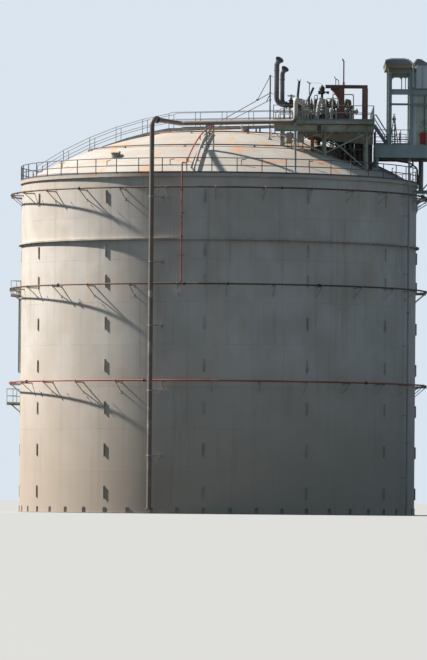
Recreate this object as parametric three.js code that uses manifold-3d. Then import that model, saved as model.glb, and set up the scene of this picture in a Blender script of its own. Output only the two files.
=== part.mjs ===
// Domed-roof gas storage tank: a flat-bottomed steel shell with ring pipes, a low domed roof
// and a roof platform.
// Units are millimetres, +Z is up, and the origin is on the tank's axis at ground level.
// Angles are in degrees round the axis from the front (-Y), positive towards +X.
import * as THREE from 'three';
import { mergeVertices } from 'three/addons/utils/BufferGeometryUtils.js';
import Module from 'manifold-3d';

const wasm = await Module();
wasm.setup();

// Driving dimensions of the tank
const TANK_RADIUS = 14400;
const WALL = 350;
const RIM_HEIGHT = 24000;
const RIM_DEPTH = 120;
const RIM_REACH = 120;
const DOME_RADIUS = 27900;
const ROOF_THICKNESS = 250;
const CROWN_RADIUS = 1500;
const FACETS = 36;
const DOME_LAPS = [12000, 9400, 6800, 4150, CROWN_RADIUS];
const SECTORS = 4;
const SECTOR_ANGLE = 360 / SECTORS;
const FIRST_ANGLE = -18.9;
const BOTTOM_PLATE = 60;
const BOTTOM_REACH = 60;

// Gap between touching pieces, how far a post runs on below the face it is trimmed to,
// and the reach of the wedges that cut rings and shells into parts
const SEAT_GAP = 0.3;
const SEAT_DEPTH = 500;
const BEYOND = 3 * TANK_RADIUS;

// Stiffening ring and the short upright fins on the shell
const GIRDER_HEIGHT = 19510;
const GIRDER_REACH = 230;
const GIRDER_DEPTH = 100;
const FIN_HEIGHT = 850;
const FIN_REACH = 100;
const FIN_WIDTH = 40;
const FIN_ROOT = 100;
const COURSE = 3000;
const FIN_BELOW_SEAM = 1050;
const FIN_SEAMS = [1, 2, 3, 4, 5, 6, 8];
const FIN_UNDER_GIRDER = 19100;
const FINS_A_SECTOR = 3;

// Spray ring pipes round the shell, each on 27 brackets
const RING_RADIUS = 15200;
const RING_PIPE = 60;
const RING_BRACKETS = 27;
const BRACKET_STEP = 360 / RING_BRACKETS;
const BRACKET_DROP = 690;
const BRACKET_WIDTH = 60;
const BRACKET_ARM = 70;
const BRACKET_BEYOND_RING = 50;
const BRACKET_BITE = 20;
const SPRAY_RINGS = [
  { name: 'upper', height: 23100, phase: -54.3 },
  { name: 'middle', height: 16260, phase: -51.2 },
  { name: 'lower', height: 9420, phase: -55.1 },
];

// Spray rings on the dome, and the branch pipe between them
const ROOF_RING_PIPE = 45;
const ROOF_RING_LIFT = 120;
const ROOF_RING_FOOT = 60;
const ROOF_RING_FOOT_DEPTH = 300;
const OUTER_RING = { radius: 9600, feet: 12 };
const INNER_RING = { radius: 5300, feet: 8 };
const BRANCH_ANGLE = 157.5;
const BRANCH_PIPE = 40;
const BRANCH_RADII = [5270, 6800, 8200, 9520];

// Handrails
const RAIL_HEIGHT = 1100;
const RAIL_BAR = 50;
const RIM_RAIL_RADIUS = 14480;
const RIM_RAIL_BAYS = 51;
const RIM_RAIL_PHASE = 4.9;
const RIM_GATE_BAY = -18;
const RIM_RAIL_HEIGHT = 1220;
const RIM_UPSTAND = 240;
const TOE_BOARD = 120;
const RAIL_WINDOW_REACH = 400;

// Roof walkway, straight over the crown from the back left of the rim to the platform
const WALK_ANGLE = 68;
const WALK_TOP = 28300;
const WALK_WIDTH = 880;
const WALK_STEPS = 20;
const WALK_CLEARANCE = 450;
const WALK_UNDERSIDE = 220;
const WALK_END = 6650;
const WALK_PLATE = 80;
const WALK_UNDERSIDE_AT = [3000, 0, -3000, -5500, -7600, -9600, -11600, -13000];
const WALK_FEET = [-14000, -11200, -8600, -6050, -3200, 0, 3000];
const WALK_END_FOOT = 5600;
const WALK_FOOT = 120;
const WALK_FOOT_INSET = 20;
const WALK_RAIL_BAYS = 10;
const WALK_RAIL_SKIRT = 110;
const WALK_RAIL_SILL = 60;

// Roof platform: a deck on joists, on three girder frames with columns
const DECK_TOP = 28300;
const DECK_FRONT = -8200;
const DECK_BACK = 1600;
const DECK_LEFT = 3800;
const DECK_RIGHT = 11100;
const DECK_CORNER = -6800;
const DECK_PLATE = 80;
const DECK_GAP = 50;
const JOISTS = 6;
const JOIST_DEPTH = 220;
const JOIST_WIDTH = 100;
const JOIST_INSET = 60;
const JOIST_BITE = 10;
const GIRDER_BEAM = 500;
const GIRDER_WIDTH = 200;
const COLUMN = 220;
const FRONT_FRAME = { y: -7900, left: 3900, right: 11050, columns: [4500, 7500, 10500] };
const MIDDLE_FRAME = { y: -2700, left: 6300, right: 11050, columns: [7100, 10200] };
const BACK_FRAME = { y: 1300, left: 7900, right: 11050, columns: [8200, 10500] };
const SKIRT = [[5600, 27520], [5600, 27400], [7140, 27090], [8360, 26820], [11000, 26600], [11000, 27520]];
const SKIRT_PLATE = 60;

// Platform handrail, with a low bay where the vapour line comes over it
const PLATFORM_RAIL = { left: 3840, right: 11035, front: -8160, back: 1560 };
const LEFT_RAIL_LENGTH = 1300;
const RIGHT_RAIL_LENGTH = 3500;
const BACK_RAIL_START = -3300;
const ARCH_BAY = [5500, 6500];
const LOW_RAIL = 550;

// Shelter deck beside the platform, on legs and on bracket frames off the shell
const SHELTER_FLOOR = 26750;
const SHELTER_BEAM = 950;
const SHELTER_LEFT = 11200;
const SHELTER_RIGHT = 16900;
const SHELTER_FRONT = -5600;
const SHELTER_BACK = -400;
const SHELTER_PLATE = 60;
const SHELTER_FLANGE = 120;
const SHELTER_BEAM_LINES = [-5540, -580, -3060];
const SHELTER_CROSS_LINES = [11260, 13740, 16720];
const SHELTER_SIDE_INSET = 10;
const SHELTER_CROSS_INSET = 70;
const CROSS_LIFT = 5;
const SHELTER_LEGS = [11320];
const SHELTER_LEG_INSET = 120;
const BRACKET_BEAM = { top: 23600, depth: 300, width: 200, left: 12900, right: 16780 };
const BRACKET_KNEE = { low: [13000, 21500], high: [16350, 23460], width: 150 };
const BRACKET_POSTS = [14660, 16600];
const BRACKET_FRONT = -3000;
const BRACKET_BACK = -620;

// Shelter: column frames, a cabin at the outer end, two low roofs and a hose cabinet
const SHELTER_EAVES = 32300;
const SHELTER_COLUMNS = [12150, 13680, 15350, 16550];
const SHELTER_COLUMN = 250;
const FRAME_FRONT = [-5550, -5350];
const FRAME_BACK = [-650, -450];
const EAVES_RAIL = [32000, 32300];
const FRONT_RAILS = [[29600, 29750], [30370, 30770], EAVES_RAIL];
const FRAME_INSET = 20;
const KNEE = { width: 120, bite: 60, reach: 640, low: 900, high: 200 };
const KNEE_PLACES = [[1, -1], [1, 1], [2, -1]];
const CABIN_WALL = 60;
const CABIN = { left: 14120, right: 16840, front: -5330, back: -670 };
const ROOF_OVERHANG = 100;
const CANOPY = [
  [13850, 32680], [13780, 32780], [13600, 32900], [13300, 32980],
  [12400, 33000], [12080, 32940], [11900, 32800],
];
const CABIN_ROOF = [
  [16960, 32560], [15400, 32580], [15000, 32640], [14720, 32800],
  [14500, 32930], [14250, 32970], [14080, 32880], [13980, 32700],
];
const CABINET = { left: 14480, right: 14860, front: -5580, back: -5350, height: 900 };

// Stair from the platform down to the shelter deck
const STAIR = { top: 28270, left: 11112, right: 12112, front: -4400, width: 800, treads: 6 };
const STAIR_STRINGER = [50, 220];
const STRINGER_DROP = 120;
const STRINGER_LIFT = 100;
const TREAD = { length: 180, above: 15, below: 20, first: 0.35 };
const STAIR_SHOE = { length: 120, beyond: 10, height: 190, width: 60 };
const STAIR_HEAD = { length: 220, depth: 330 };
const STAIR_RAIL = { inset: 60, end: 10, bite: 20, topHeight: 950, footHeight: 1000 };

// Caged ladders: three flights between the ground, two landings and the rim
const LADDER_RADIUS = 15400;
const LADDER_ANGLE_OUTER = -117.5;
const LADDER_ANGLE_MIDDLE = -112.5;
const LADDER_HALF_WIDTH = 300;
const STILE = 50;
const RUNG = 40;
const RUNG_STEP = 600;
const CAGE_RADIUS = 360;
const CAGE_STRAP = 30;
const CAGE_LOW = 2300;
const CAGE_HIGH = 250;
const CAGE_HOOPS = 4;
const HOOP_DEPTH = 50;
const CAGE_CENTRE = 200;
const CAGE_ANGLES = [-124, -62, 0, 62, 124];
const STANDOFF = 60;
const STANDOFFS = [[1500, 4500, 7300], [10300, 12800, 15300], [17800, 20500, 22600]];
const EXIT_PLATE = { inner: 14420, outer: 15410, width: 1000, low: 23940, high: 23995 };
const EXIT_GUSSET = [[14300, 23350], [15000, 23940], [15100, 23980], [14300, 23980]];
const EXIT_GUSSET_WIDTH = 80;
const LANDING_INNER = 15330;
const LANDING_OUTER = 16150;
const LANDING_FLOOR = 60;
const LANDING_EDGE = 100;
const LANDING_STEPS = 3;
const HATCH_HALF = 340;
const HATCH_BEHIND = 20;
const LANDING_PANEL_INSET = 10;
const LANDING_LOWER = 8000;
const LOWER_SPAN = [-119.5, -105.5];
const LOWER_ARMS = [-119, -114.9, -107.5];
const LANDING_UPPER = 16000;
const UPPER_SPAN = [-119.5, -108];
const UPPER_ARMS = [-119.2, -115, -110];
const LANDING_BRACKET = { inset: 150, drop: 1300, width: 80, arm: 120 };

// Vapour line: a downcomer by the shell, a header across the dome and an arch up to the platform
const VAPOUR_PIPE = 165;
const VAPOUR_HEIGHT = 27900;
const VAPOUR_BEND = 450;
const VAPOUR_CORNER = [-2900, -9700];
const ARCH_FOOT = [5360, -13150];
const ARCH_END = [6000, -7500];
const ARCH_TOP = 29500;
const ARCH_POST = 85;
const ARCH_POST_BEHIND = 60;
const TRESTLE_POST = 60;
const TRESTLE_FEET = [[-950, -10515], [-450, -10724]];
const TRESTLE_BASE = 25500;
const DOWNCOMER_ANGLE = -18;
const DOWNCOMER_RADIUS = 15500;
const DOWNCOMER_FOOT = 300;
const DOWNCOMER_BEND = 500;
const DOWNCOMER_JOINT = 900;
const DOWNCOMER_ARMS = [22400, 17800, 13300, 8700, 4100];
const DOWNCOMER_ARM_SPREAD = 500;
const DOWNCOMER_ARM = 80;
const FLANGE = 60;
const FLANGE_RIM = 90;
const FOOT_FLANGE_RIM = 110;

// Red riser over the rim to the middle spray ring, grey feed pipe on the dome, and down pipe
const RISER_ANGLE = -10.2;
const RISER_PIPE = 50;
const RISER_RADIUS = 14950;
const RISER_OVER = 24820;
const RISER_LIFT = 300;
const RISER_BEND = 110;
const RISER_DOME_RADII = [3600, 6500, 9200, 11500, 13400];
const RISER_FEET = [3700, 8000, 12600];
const RISER_ARMS = [21300, 18300];
const RISER_ARM = 70;
const FEED_ANGLE = -7.4;
const FEED_PIPE = 90;
const FEED_LIFT = 290;
const FEED_BEND = 200;
const FEED_RADII = [5950, 7200, 9000, 11000, 12800, 14000];
const FEED_BURIED = 300;
const DOWNPIPE_ANGLE = 67.7;
const DOWNPIPE_RADIUS = 14780;
const DOWNPIPE = 75;
const DOWNPIPE_ENDS = [300, 25400];
const DOWNPIPE_ARMS = [2700, 7200, 12200, 17400, 21600];
const DOWNPIPE_ARM = 60;

// Vent stacks and the braced mast at the platform's front left corner
const TALL_STACK = { x: 4050, y: -7550, radius: 180, top: 32870, inlet: 4780 };
const SHORT_STACK = { x: 4460, y: -7050, radius: 165, top: 32250, inlet: 5080 };
const STACK_BEND = 1.6;
const STACK_RIM = 60;
const STACK_INLET = 29430;
const STACK_CORNER = 420;
const STACK_NECK = 520;
const STACK_MOUTH = { right: 190, forward: 270, up: 300, rim: 100 };
const STACK_STAND = { offset: 560, post: 120 };
const MAST = { x: 3600, y: -6450, radius: 55, top: 31650 };
const MAST_BRACES = [
  { from: 30350, radius: 35, foot: [-1200, -2200] },
  { from: 29850, radius: 30, foot: [-700, -2900] },
];
const MAST_STAY = { from: 31580, radius: 30, end: [2700, -5650, 29900] };

// Valve manifold, feed arch and crane gantry on the platform
const HEADER = { left: 5300, right: 9900, y: -6500, z: 29050, radius: 150 };
const HEADER_FLANGES = [[5340, 70], [7000, 110], [9860, 70]];
const HEADER_STANDS = [5700, 7700, 9500];
const STAND = { post: 140, foot: 340, plate: 30, bite: 60 };
const RELIEF_VALVES = [
  { x: 5570, tip: [5700, 31360], tail: 90 },
  { x: 6370, tip: [6770, 30880], tail: 80 },
];
const RELIEF = { body: 120, height: 900, flange: 190, flangeAt: 420 };
const ACTUATOR = { place: [7330, -6900], stem: 90, drum: 200, drumLow: 30300, top: 30950 };
const FEED_ARCH = {
  pipe: 150, bend: 330, start: [6980, -7550], end: [7420, -6500], knee: 28600, lean: 180, top: 29850,
};
const FEED_FLANGE = { radius: 230, depth: 100, lift: 60 };
const GANTRY_LINE = -7450;
const GANTRY_BEAM = { left: 7560, right: 10600, low: 30650, high: 30900, width: 180 };
const GANTRY_COLUMNS = [8720, 10410];
const GANTRY_COLUMN = [420, 200];
const GANTRY_KNEE = { from: [8080, 30690], to: [8560, 30050], width: 110 };
const DAVIT = { x: 8870, low: 30840, top: 32750, hook: 8700, radius: 55, bend: 150 };

const tank = new THREE.Group();
const radians = THREE.MathUtils.degToRad;

const paint = (color, roughness = 0.6, metalness = 0.1) =>
  new THREE.MeshStandardMaterial({ color, roughness, metalness });
const shellPaint = paint(0xe9e4d6);
const roofPaint = paint(0xe6dccb);
const ringPaint = paint(0x5d4338);
const redPaint = paint(0x8c4a38);
const galvanised = paint(0x8f9494, 0.55, 0.5);
const pipeGrey = paint(0x9b9c96, 0.5, 0.4);
const platformPaint = paint(0x67705f, 0.7, 0.2);
const craneBrown = paint(0x7a4a38, 0.7, 0.2);
const deckBlue = paint(0x5c6c74, 0.65, 0.2);
const claddingPaint = paint(0x8a9899, 0.55, 0.3);
const boxRed = paint(0xb53340, 0.5, 0.1);
const bottomGrey = paint(0x8a8780, 0.8, 0.1);

// Places on the tank
function polar(radius, angle, z) {
  return new THREE.Vector3(radius * Math.sin(radians(angle)), -radius * Math.cos(radians(angle)), z);
}

const domeCentre = RIM_HEIGHT - Math.sqrt(DOME_RADIUS ** 2 - TANK_RADIUS ** 2);

function domeHeight(radius) {
  return domeCentre + Math.sqrt(DOME_RADIUS ** 2 - radius ** 2);
}

// Turns a piece drawn with x outwards, y along the wall and z up to its angle round the tank
function atAngle(geometry, angle) {
  return geometry.rotateZ(radians(angle - 90));
}

// Closed solids and how they join
function solid(geometry) {
  const bare = new THREE.BufferGeometry();
  bare.setAttribute('position', geometry.getAttribute('position'));
  bare.setIndex(geometry.getIndex());
  const merged = mergeVertices(bare, 1e-3);
  const index = merged.getIndex().array;
  const faces = [];
  for (let i = 0; i < index.length; i += 3) {
    const [a, b, c] = [index[i], index[i + 1], index[i + 2]];
    if (a !== b && b !== c && c !== a) faces.push(a, b, c);
  }
  return new wasm.Manifold(new wasm.Mesh({
    numProp: 3,
    vertProperties: new Float32Array(merged.getAttribute('position').array),
    triVerts: new Uint32Array(faces),
  }));
}

function join(geometries) {
  return geometries.map(solid).reduce((whole, piece) => whole.add(piece));
}

function geometryOf(body) {
  const data = body.getMesh();
  const geometry = new THREE.BufferGeometry();
  geometry.setAttribute('position', new THREE.BufferAttribute(data.vertProperties, 3));
  geometry.setIndex(new THREE.BufferAttribute(data.triVerts, 1));
  geometry.computeVertexNormals();
  return geometry;
}

function addPart(name, body, material) {
  const mesh = new THREE.Mesh(geometryOf(body), material);
  mesh.name = name;
  tank.add(mesh);
}

// Basic shapes
function block(x0, x1, y0, y1, z0, z1) {
  const geometry = new THREE.BoxGeometry(x1 - x0, y1 - y0, z1 - z0);
  return geometry.translate((x0 + x1) / 2, (y0 + y1) / 2, (z0 + z1) / 2);
}

// A square post centred on x and y
function post(x, y, width, z0, z1) {
  const half = width / 2;
  return block(x - half, x + half, y - half, y + half, z0, z1);
}

// A bar along x, centred on y
function barAlongX(x0, x1, y, width, z0, z1) {
  return block(x0, x1, y - width / 2, y + width / 2, z0, z1);
}

function point(x, y, z) {
  return new THREE.Vector3(x, y, z);
}

// Turns a shape that runs along z so that it runs from one point to another, with its x side level
function between(geometry, from, to) {
  const along = to.clone().sub(from).normalize();
  const reference = Math.abs(along.z) > 0.99 ? new THREE.Vector3(0, 1, 0) : new THREE.Vector3(0, 0, 1);
  const side = reference.cross(along).normalize();
  const third = along.clone().cross(side);
  const turn = new THREE.Matrix4().makeBasis(side, third, along);
  const middle = from.clone().add(to).multiplyScalar(0.5);
  return geometry.applyMatrix4(turn).translate(middle.x, middle.y, middle.z);
}

function beam(from, to, width, depth = width) {
  return between(new THREE.BoxGeometry(width, depth, from.distanceTo(to)), from, to);
}

function rod(from, to, radius, sides = 6) {
  const bar = new THREE.CylinderGeometry(radius, radius, from.distanceTo(to), sides);
  return between(bar.rotateX(Math.PI / 2), from, to);
}

function upright(x, y, z0, z1, radius, sides = 10) {
  return rod(new THREE.Vector3(x, y, z0), new THREE.Vector3(x, y, z1), radius, sides);
}

function revolved(profile, facets = FACETS, start = FIRST_ANGLE) {
  const points = profile.map(([radius, z]) => new THREE.Vector2(radius, z));
  return new THREE.LatheGeometry(points, facets, radians(start)).rotateX(Math.PI / 2);
}

function closedRing(profile) {
  return revolved([...profile, profile[0]]);
}

// A flat outline drawn in x and z and given a thickness across y
function plate(outline, thickness) {
  const shape = new THREE.Shape(outline.map(([x, z]) => new THREE.Vector2(x, z)));
  const geometry = new THREE.ExtrudeGeometry(shape, { depth: thickness, bevelEnabled: false });
  return geometry.translate(0, 0, -thickness / 2).rotateX(Math.PI / 2);
}

// The same with windows cut through it
function piercedPlate(outline, thickness, windows) {
  const cutters = windows.map((window) => solid(plate(window, 3 * thickness)));
  const whole = solid(plate(outline, thickness));
  return geometryOf(cutters.reduce((body, cutter) => body.subtract(cutter), whole));
}

// A level outline drawn in x and y and raised from z0 to z1
function slab(outline, z0, z1) {
  const shape = new THREE.Shape(outline.map(([x, y]) => new THREE.Vector2(x, y)));
  return new THREE.ExtrudeGeometry(shape, { depth: z1 - z0, bevelEnabled: false }).translate(0, 0, z0);
}

function rectangle(x0, x1, y0, y1) {
  return [[x0, y0], [x1, y0], [x1, y1], [x0, y1]];
}

// A run of points as a path whose equal steps land on each point
class Route extends THREE.Curve {
  constructor(points) {
    super();
    this.points = points;
  }

  getPoint(t) {
    const last = this.points.length - 1;
    const place = Math.min(Math.max(t, 0), 1) * last;
    const index = Math.min(Math.floor(place), last - 1);
    return this.points[index].clone().lerp(this.points[index + 1], place - index);
  }

  getUtoTmapping(u) {
    return u;
  }
}

function tube(points, radius, sides = 8) {
  const corners = [];
  for (let i = 0; i < sides; i += 1) {
    const turn = (2 * Math.PI * (i + 0.5)) / sides;
    corners.push(new THREE.Vector2(radius * Math.cos(turn), radius * Math.sin(turn)));
  }
  return new THREE.ExtrudeGeometry(new THREE.Shape(corners), {
    steps: points.length - 1,
    extrudePath: new Route(points),
    bevelEnabled: false,
  });
}

// Rounds the inner corners of a pipe's route
function withBends(corners, bendRadius, bendSteps = 4) {
  const points = [corners[0]];
  for (let i = 1; i < corners.length - 1; i += 1) {
    const back = corners[i - 1].clone().sub(corners[i]).normalize();
    const ahead = corners[i + 1].clone().sub(corners[i]).normalize();
    const half = back.angleTo(ahead) / 2;
    const reach = bendRadius / Math.tan(half);
    const inward = back.clone().add(ahead).normalize();
    const centre = corners[i].clone().addScaledVector(inward, bendRadius / Math.sin(half));
    const start = corners[i].clone().addScaledVector(back, reach).sub(centre);
    const end = corners[i].clone().addScaledVector(ahead, reach).sub(centre);
    const axis = start.clone().cross(end).normalize();
    for (let step = 0; step <= bendSteps; step += 1) {
      const turn = ((Math.PI - 2 * half) * step) / bendSteps;
      points.push(start.clone().applyAxisAngle(axis, turn).add(centre));
    }
  }
  points.push(corners[corners.length - 1]);
  return points;
}

// The tank's outside, a hair larger than the real one, which trims what is seated on it
const wallTrim = solid(revolved([
  [0, -SEAT_DEPTH],
  [TANK_RADIUS + SEAT_GAP, -SEAT_DEPTH],
  [TANK_RADIUS + SEAT_GAP, RIM_HEIGHT - RIM_DEPTH],
  [0, RIM_HEIGHT - RIM_DEPTH],
]));
const domeRadii = [TANK_RADIUS, ...DOME_LAPS];
const roofTrimBase = RIM_HEIGHT - 8 * SEAT_DEPTH;
const roofTrim = solid(revolved([
  [0, roofTrimBase],
  [TANK_RADIUS + RIM_REACH + SEAT_GAP, roofTrimBase],
  [TANK_RADIUS + RIM_REACH + SEAT_GAP, RIM_HEIGHT + SEAT_GAP],
  ...domeRadii.map((radius) => [radius, domeHeight(radius) + SEAT_GAP]),
  [0, domeHeight(0) + SEAT_GAP],
]));

// A run of evenly spaced angles, ends included
function anglesFrom(from, to, steps) {
  return Array.from({ length: steps + 1 }, (_, i) => from + ((to - from) * i) / steps);
}

// Corners of an arc round the axis, seen from above
function arcOutline(radius, angles) {
  return angles.map((angle) => polar(radius, angle, 0)).map((corner) => [corner.x, corner.y]);
}

// A flat pie slice between two angles, tall enough to cut any ring round the tank
function pieSlice(from, to) {
  const rim = arcOutline(BEYOND, anglesFrom(from, to, 8));
  return solid(slab([[0, 0], ...rim], -SEAT_DEPTH, 2 * RIM_HEIGHT));
}

function sectorWedge(start) {
  const apex = polar(SEAT_GAP, start + SECTOR_ANGLE / 2, 0);
  const sides = [start, start + SECTOR_ANGLE].map((angle) => apex.clone().add(polar(BEYOND, angle, 0)));
  const corners = [apex, ...sides].map((corner) => [corner.x, corner.y]);
  return solid(slab(corners, -SEAT_DEPTH, 2 * RIM_HEIGHT));
}

// Bottom plate that the wall stands on
addPart('tank_bottom', solid(revolved([
  [0, 0],
  [TANK_RADIUS + BOTTOM_REACH, 0],
  [TANK_RADIUS + BOTTOM_REACH, BOTTOM_PLATE],
  [0, BOTTOM_PLATE],
])), bottomGrey);

// Shell: four curved segments, each with its stretch of the stiffening ring and three columns of fins
const wallTop = RIM_HEIGHT - RIM_DEPTH - SEAT_GAP;
const wallRing = solid(closedRing([
  [TANK_RADIUS - WALL, BOTTOM_PLATE + SEAT_GAP],
  [TANK_RADIUS, BOTTOM_PLATE + SEAT_GAP],
  [TANK_RADIUS, GIRDER_HEIGHT - GIRDER_DEPTH],
  [TANK_RADIUS + GIRDER_REACH, GIRDER_HEIGHT - GIRDER_DEPTH],
  [TANK_RADIUS + GIRDER_REACH, GIRDER_HEIGHT],
  [TANK_RADIUS, GIRDER_HEIGHT],
  [TANK_RADIUS, wallTop],
  [TANK_RADIUS - WALL, wallTop],
]));

const finTops = [...FIN_SEAMS.map((seam) => COURSE * seam - FIN_BELOW_SEAM), FIN_UNDER_GIRDER];

function fin(angle, top) {
  const [root, edge] = [TANK_RADIUS - FIN_ROOT, TANK_RADIUS + FIN_REACH];
  return solid(atAngle(barAlongX(root, edge, 0, FIN_WIDTH, top - FIN_HEIGHT, top), angle));
}

for (let sector = 0; sector < SECTORS; sector += 1) {
  const start = FIRST_ANGLE + sector * SECTOR_ANGLE;
  let segment = wallRing.intersect(sectorWedge(start));
  for (let column = 0; column < FINS_A_SECTOR; column += 1) {
    const angle = start + ((column + 0.5) * SECTOR_ANGLE) / FINS_A_SECTOR;
    for (const top of finTops) {
      segment = segment.add(fin(angle, top));
    }
  }
  addPart(`shell_segment_${sector + 1}`, segment, shellPaint);
}

// Roof: four dome sectors with the rim curb, and the crown plate in the middle
const roofRing = solid(closedRing([
  ...[...DOME_LAPS].reverse().map((radius) => [radius, domeHeight(radius) - ROOF_THICKNESS]),
  [TANK_RADIUS - WALL, RIM_HEIGHT - RIM_DEPTH],
  [TANK_RADIUS + RIM_REACH, RIM_HEIGHT - RIM_DEPTH],
  [TANK_RADIUS + RIM_REACH, RIM_HEIGHT],
  ...domeRadii.map((radius) => [radius, domeHeight(radius)]),
]));

for (let sector = 0; sector < SECTORS; sector += 1) {
  const wedge = sectorWedge(FIRST_ANGLE + sector * SECTOR_ANGLE);
  addPart(`roof_sector_${sector + 1}`, roofRing.intersect(wedge), roofPaint);
}

addPart('roof_crown', solid(revolved([
  [0, domeHeight(0) - ROOF_THICKNESS],
  [CROWN_RADIUS - SEAT_GAP, domeHeight(CROWN_RADIUS) - ROOF_THICKNESS],
  [CROWN_RADIUS - SEAT_GAP, domeHeight(CROWN_RADIUS)],
  [0, domeHeight(0)],
])), roofPaint);

// Where a piece of this width meets the wall's flat facets, seated clear of them by the seat gap
function wallFace(angle, width) {
  const facet = 360 / FACETS;
  const nearest = Math.floor((angle - FIRST_ANGLE) / facet);
  const corners = [-width / 2, width / 2].map((y) => {
    const faces = [nearest - 1, nearest, nearest + 1].map((index) => {
      const turn = radians(angle - FIRST_ANGLE - (index + 0.5) * facet);
      return (TANK_RADIUS * Math.cos(radians(facet / 2)) + y * Math.sin(turn)) / Math.cos(turn);
    });
    return Math.min(...faces);
  });
  const ridges = [nearest, nearest + 1]
    .map((index) => radians(angle - FIRST_ANGLE - index * facet))
    .filter((turn) => Math.abs(TANK_RADIUS * Math.sin(turn)) < width / 2)
    .map((turn) => TANK_RADIUS * Math.cos(turn));
  return Math.max(...corners, ...ridges) + SEAT_GAP;
}

// An arm from the wall with a sloping strut under it, as one flat plate in a plane through the axis
function wallBracket(angle, top, reach, drop, width, arm = BRACKET_ARM) {
  const root = wallFace(angle, width);
  const side = plate([
    [root, top - arm],
    [reach - 2.2 * arm, top - arm],
    [root, top - drop],
    [root, top - drop - 1.3 * arm],
    [reach, top - 0.4 * arm],
    [reach, top],
    [root, top],
  ], width);
  return atAngle(side, angle);
}

// A pipe bent into a full ring round the axis
function ringPipe(radius, height, pipe, facets, start) {
  const corners = anglesFrom(18, 306, 4).map(radians);
  const profile = corners.map((turn) => [radius + pipe * Math.cos(turn), height + pipe * Math.sin(turn)]);
  return solid(revolved([...profile, profile[0]], facets, start));
}

// Spray rings: each ring pipe is two arcs, on brackets that stand out from the wall
for (const ring of SPRAY_RINGS) {
  const start = ring.phase - BRACKET_STEP / 2;
  const tinyAngle = THREE.MathUtils.radToDeg(SEAT_GAP / 2 / RING_RADIUS);
  const counts = [Math.ceil(RING_BRACKETS / 2), Math.floor(RING_BRACKETS / 2)];
  counts.forEach((count, half) => {
    const first = half === 0 ? 0 : counts[0];
    const from = start + first * BRACKET_STEP + tinyAngle;
    const to = start + (first + count) * BRACKET_STEP - tinyAngle;
    const pieces = [];
    for (let i = 0; i < count; i += 1) {
      const angle = start + (first + i + 0.5) * BRACKET_STEP;
      const top = ring.height - RING_PIPE + BRACKET_BITE;
      const reach = RING_RADIUS + BRACKET_BEYOND_RING;
      pieces.push(wallBracket(angle, top, reach, BRACKET_DROP, BRACKET_WIDTH));
    }
    const circle = ringPipe(RING_RADIUS, ring.height, RING_PIPE, RING_BRACKETS, ring.phase);
    const arc = circle.intersect(pieSlice(from, to));
    const material = ring.name === 'lower' ? redPaint : ringPaint;
    addPart(`spray_ring_${ring.name}_${half + 1}`, arc.add(join(pieces)), material);
  });
}

// Rim handrail: two arcs of bays cut out of a curved strip, with a gate bay left open at the ladder
function curvedRail(inner, outer, angles, base, toe, height = RAIL_HEIGHT) {
  const outline = [...arcOutline(outer, angles), ...arcOutline(inner, [...angles].reverse())];
  let rail = solid(slab(outline, base, base + height));
  for (let i = 0; i < angles.length - 1; i += 1) {
    const middle = (angles[i] + angles[i + 1]) / 2;
    const half = inner * Math.sin(radians((angles[i + 1] - angles[i]) / 2)) - RAIL_BAR / 2;
    const [near, far] = [inner - RAIL_WINDOW_REACH, outer + RAIL_WINDOW_REACH];
    const window = block(near, far, -half, half, base + toe, base + height - RAIL_BAR);
    rail = rail.subtract(solid(atAngle(window, middle)));
  }
  return rail;
}

const railBay = 360 / RIM_RAIL_BAYS;
const railStart = RIM_RAIL_PHASE + railBay * (RIM_GATE_BAY + 1);
for (let half = 0; half < 2; half += 1) {
  const bays = (RIM_RAIL_BAYS - 1) / 2;
  const gap = THREE.MathUtils.radToDeg(SEAT_GAP / 2 / RIM_RAIL_RADIUS);
  const from = railStart + railBay * half * bays;
  const angles = anglesFrom(from, from + railBay * bays, bays);
  if (half === 0) angles[bays] -= gap;
  if (half === 1) angles[0] += gap;
  const [inner, outer] = [RIM_RAIL_RADIUS - RAIL_BAR / 2, RIM_RAIL_RADIUS + RAIL_BAR / 2];
  const rail = curvedRail(inner, outer, angles, RIM_HEIGHT + SEAT_GAP, RIM_UPSTAND, RIM_RAIL_HEIGHT);
  addPart(`rim_rail_${half + 1}`, rail, galvanised);
}

// Spray rings on the dome, standing on short feet
function domeRing({ radius, feet }) {
  const height = domeHeight(radius) + ROOF_RING_LIFT;
  const pieces = [];
  for (let i = 0; i < feet; i += 1) {
    const angle = (360 * (i + 0.5)) / feet;
    const foot = post(radius, 0, ROOF_RING_FOOT, height - ROOF_RING_FOOT_DEPTH, height);
    pieces.push(atAngle(foot, angle));
  }
  const circle = ringPipe(radius, height, ROOF_RING_PIPE, 2 * feet, 180 / feet);
  return circle.add(join(pieces)).subtract(roofTrim);
}
const branchPoints = BRANCH_RADII
  .map((radius) => polar(radius, BRANCH_ANGLE, domeHeight(radius) + ROOF_RING_LIFT));
const branch = solid(tube(branchPoints, BRANCH_PIPE, 5));
const roofRings = domeRing(OUTER_RING).add(domeRing(INNER_RING)).add(branch).subtract(roofTrim);
addPart('roof_spray_rings', roofRings, ringPaint);

// Roof walkway: steps that climb over the dome, level past the crown, with feet on the roof plates
const walkRise = (WALK_TOP - RIM_HEIGHT - WALK_CLEARANCE) / WALK_STEPS;
const nosing = Array.from({ length: WALK_STEPS + 1 }, (_, i) => {
  const level = RIM_HEIGHT + WALK_CLEARANCE + walkRise * i;
  return [-Math.sqrt(DOME_RADIUS ** 2 - (level - WALK_CLEARANCE - domeCentre) ** 2), level];
});
nosing[0][0] += WALK_FOOT_INSET;

function walkBase(distance) {
  return Math.min(distance < 0 ? domeHeight(distance) + WALK_CLEARANCE : WALK_TOP, WALK_TOP);
}

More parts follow.
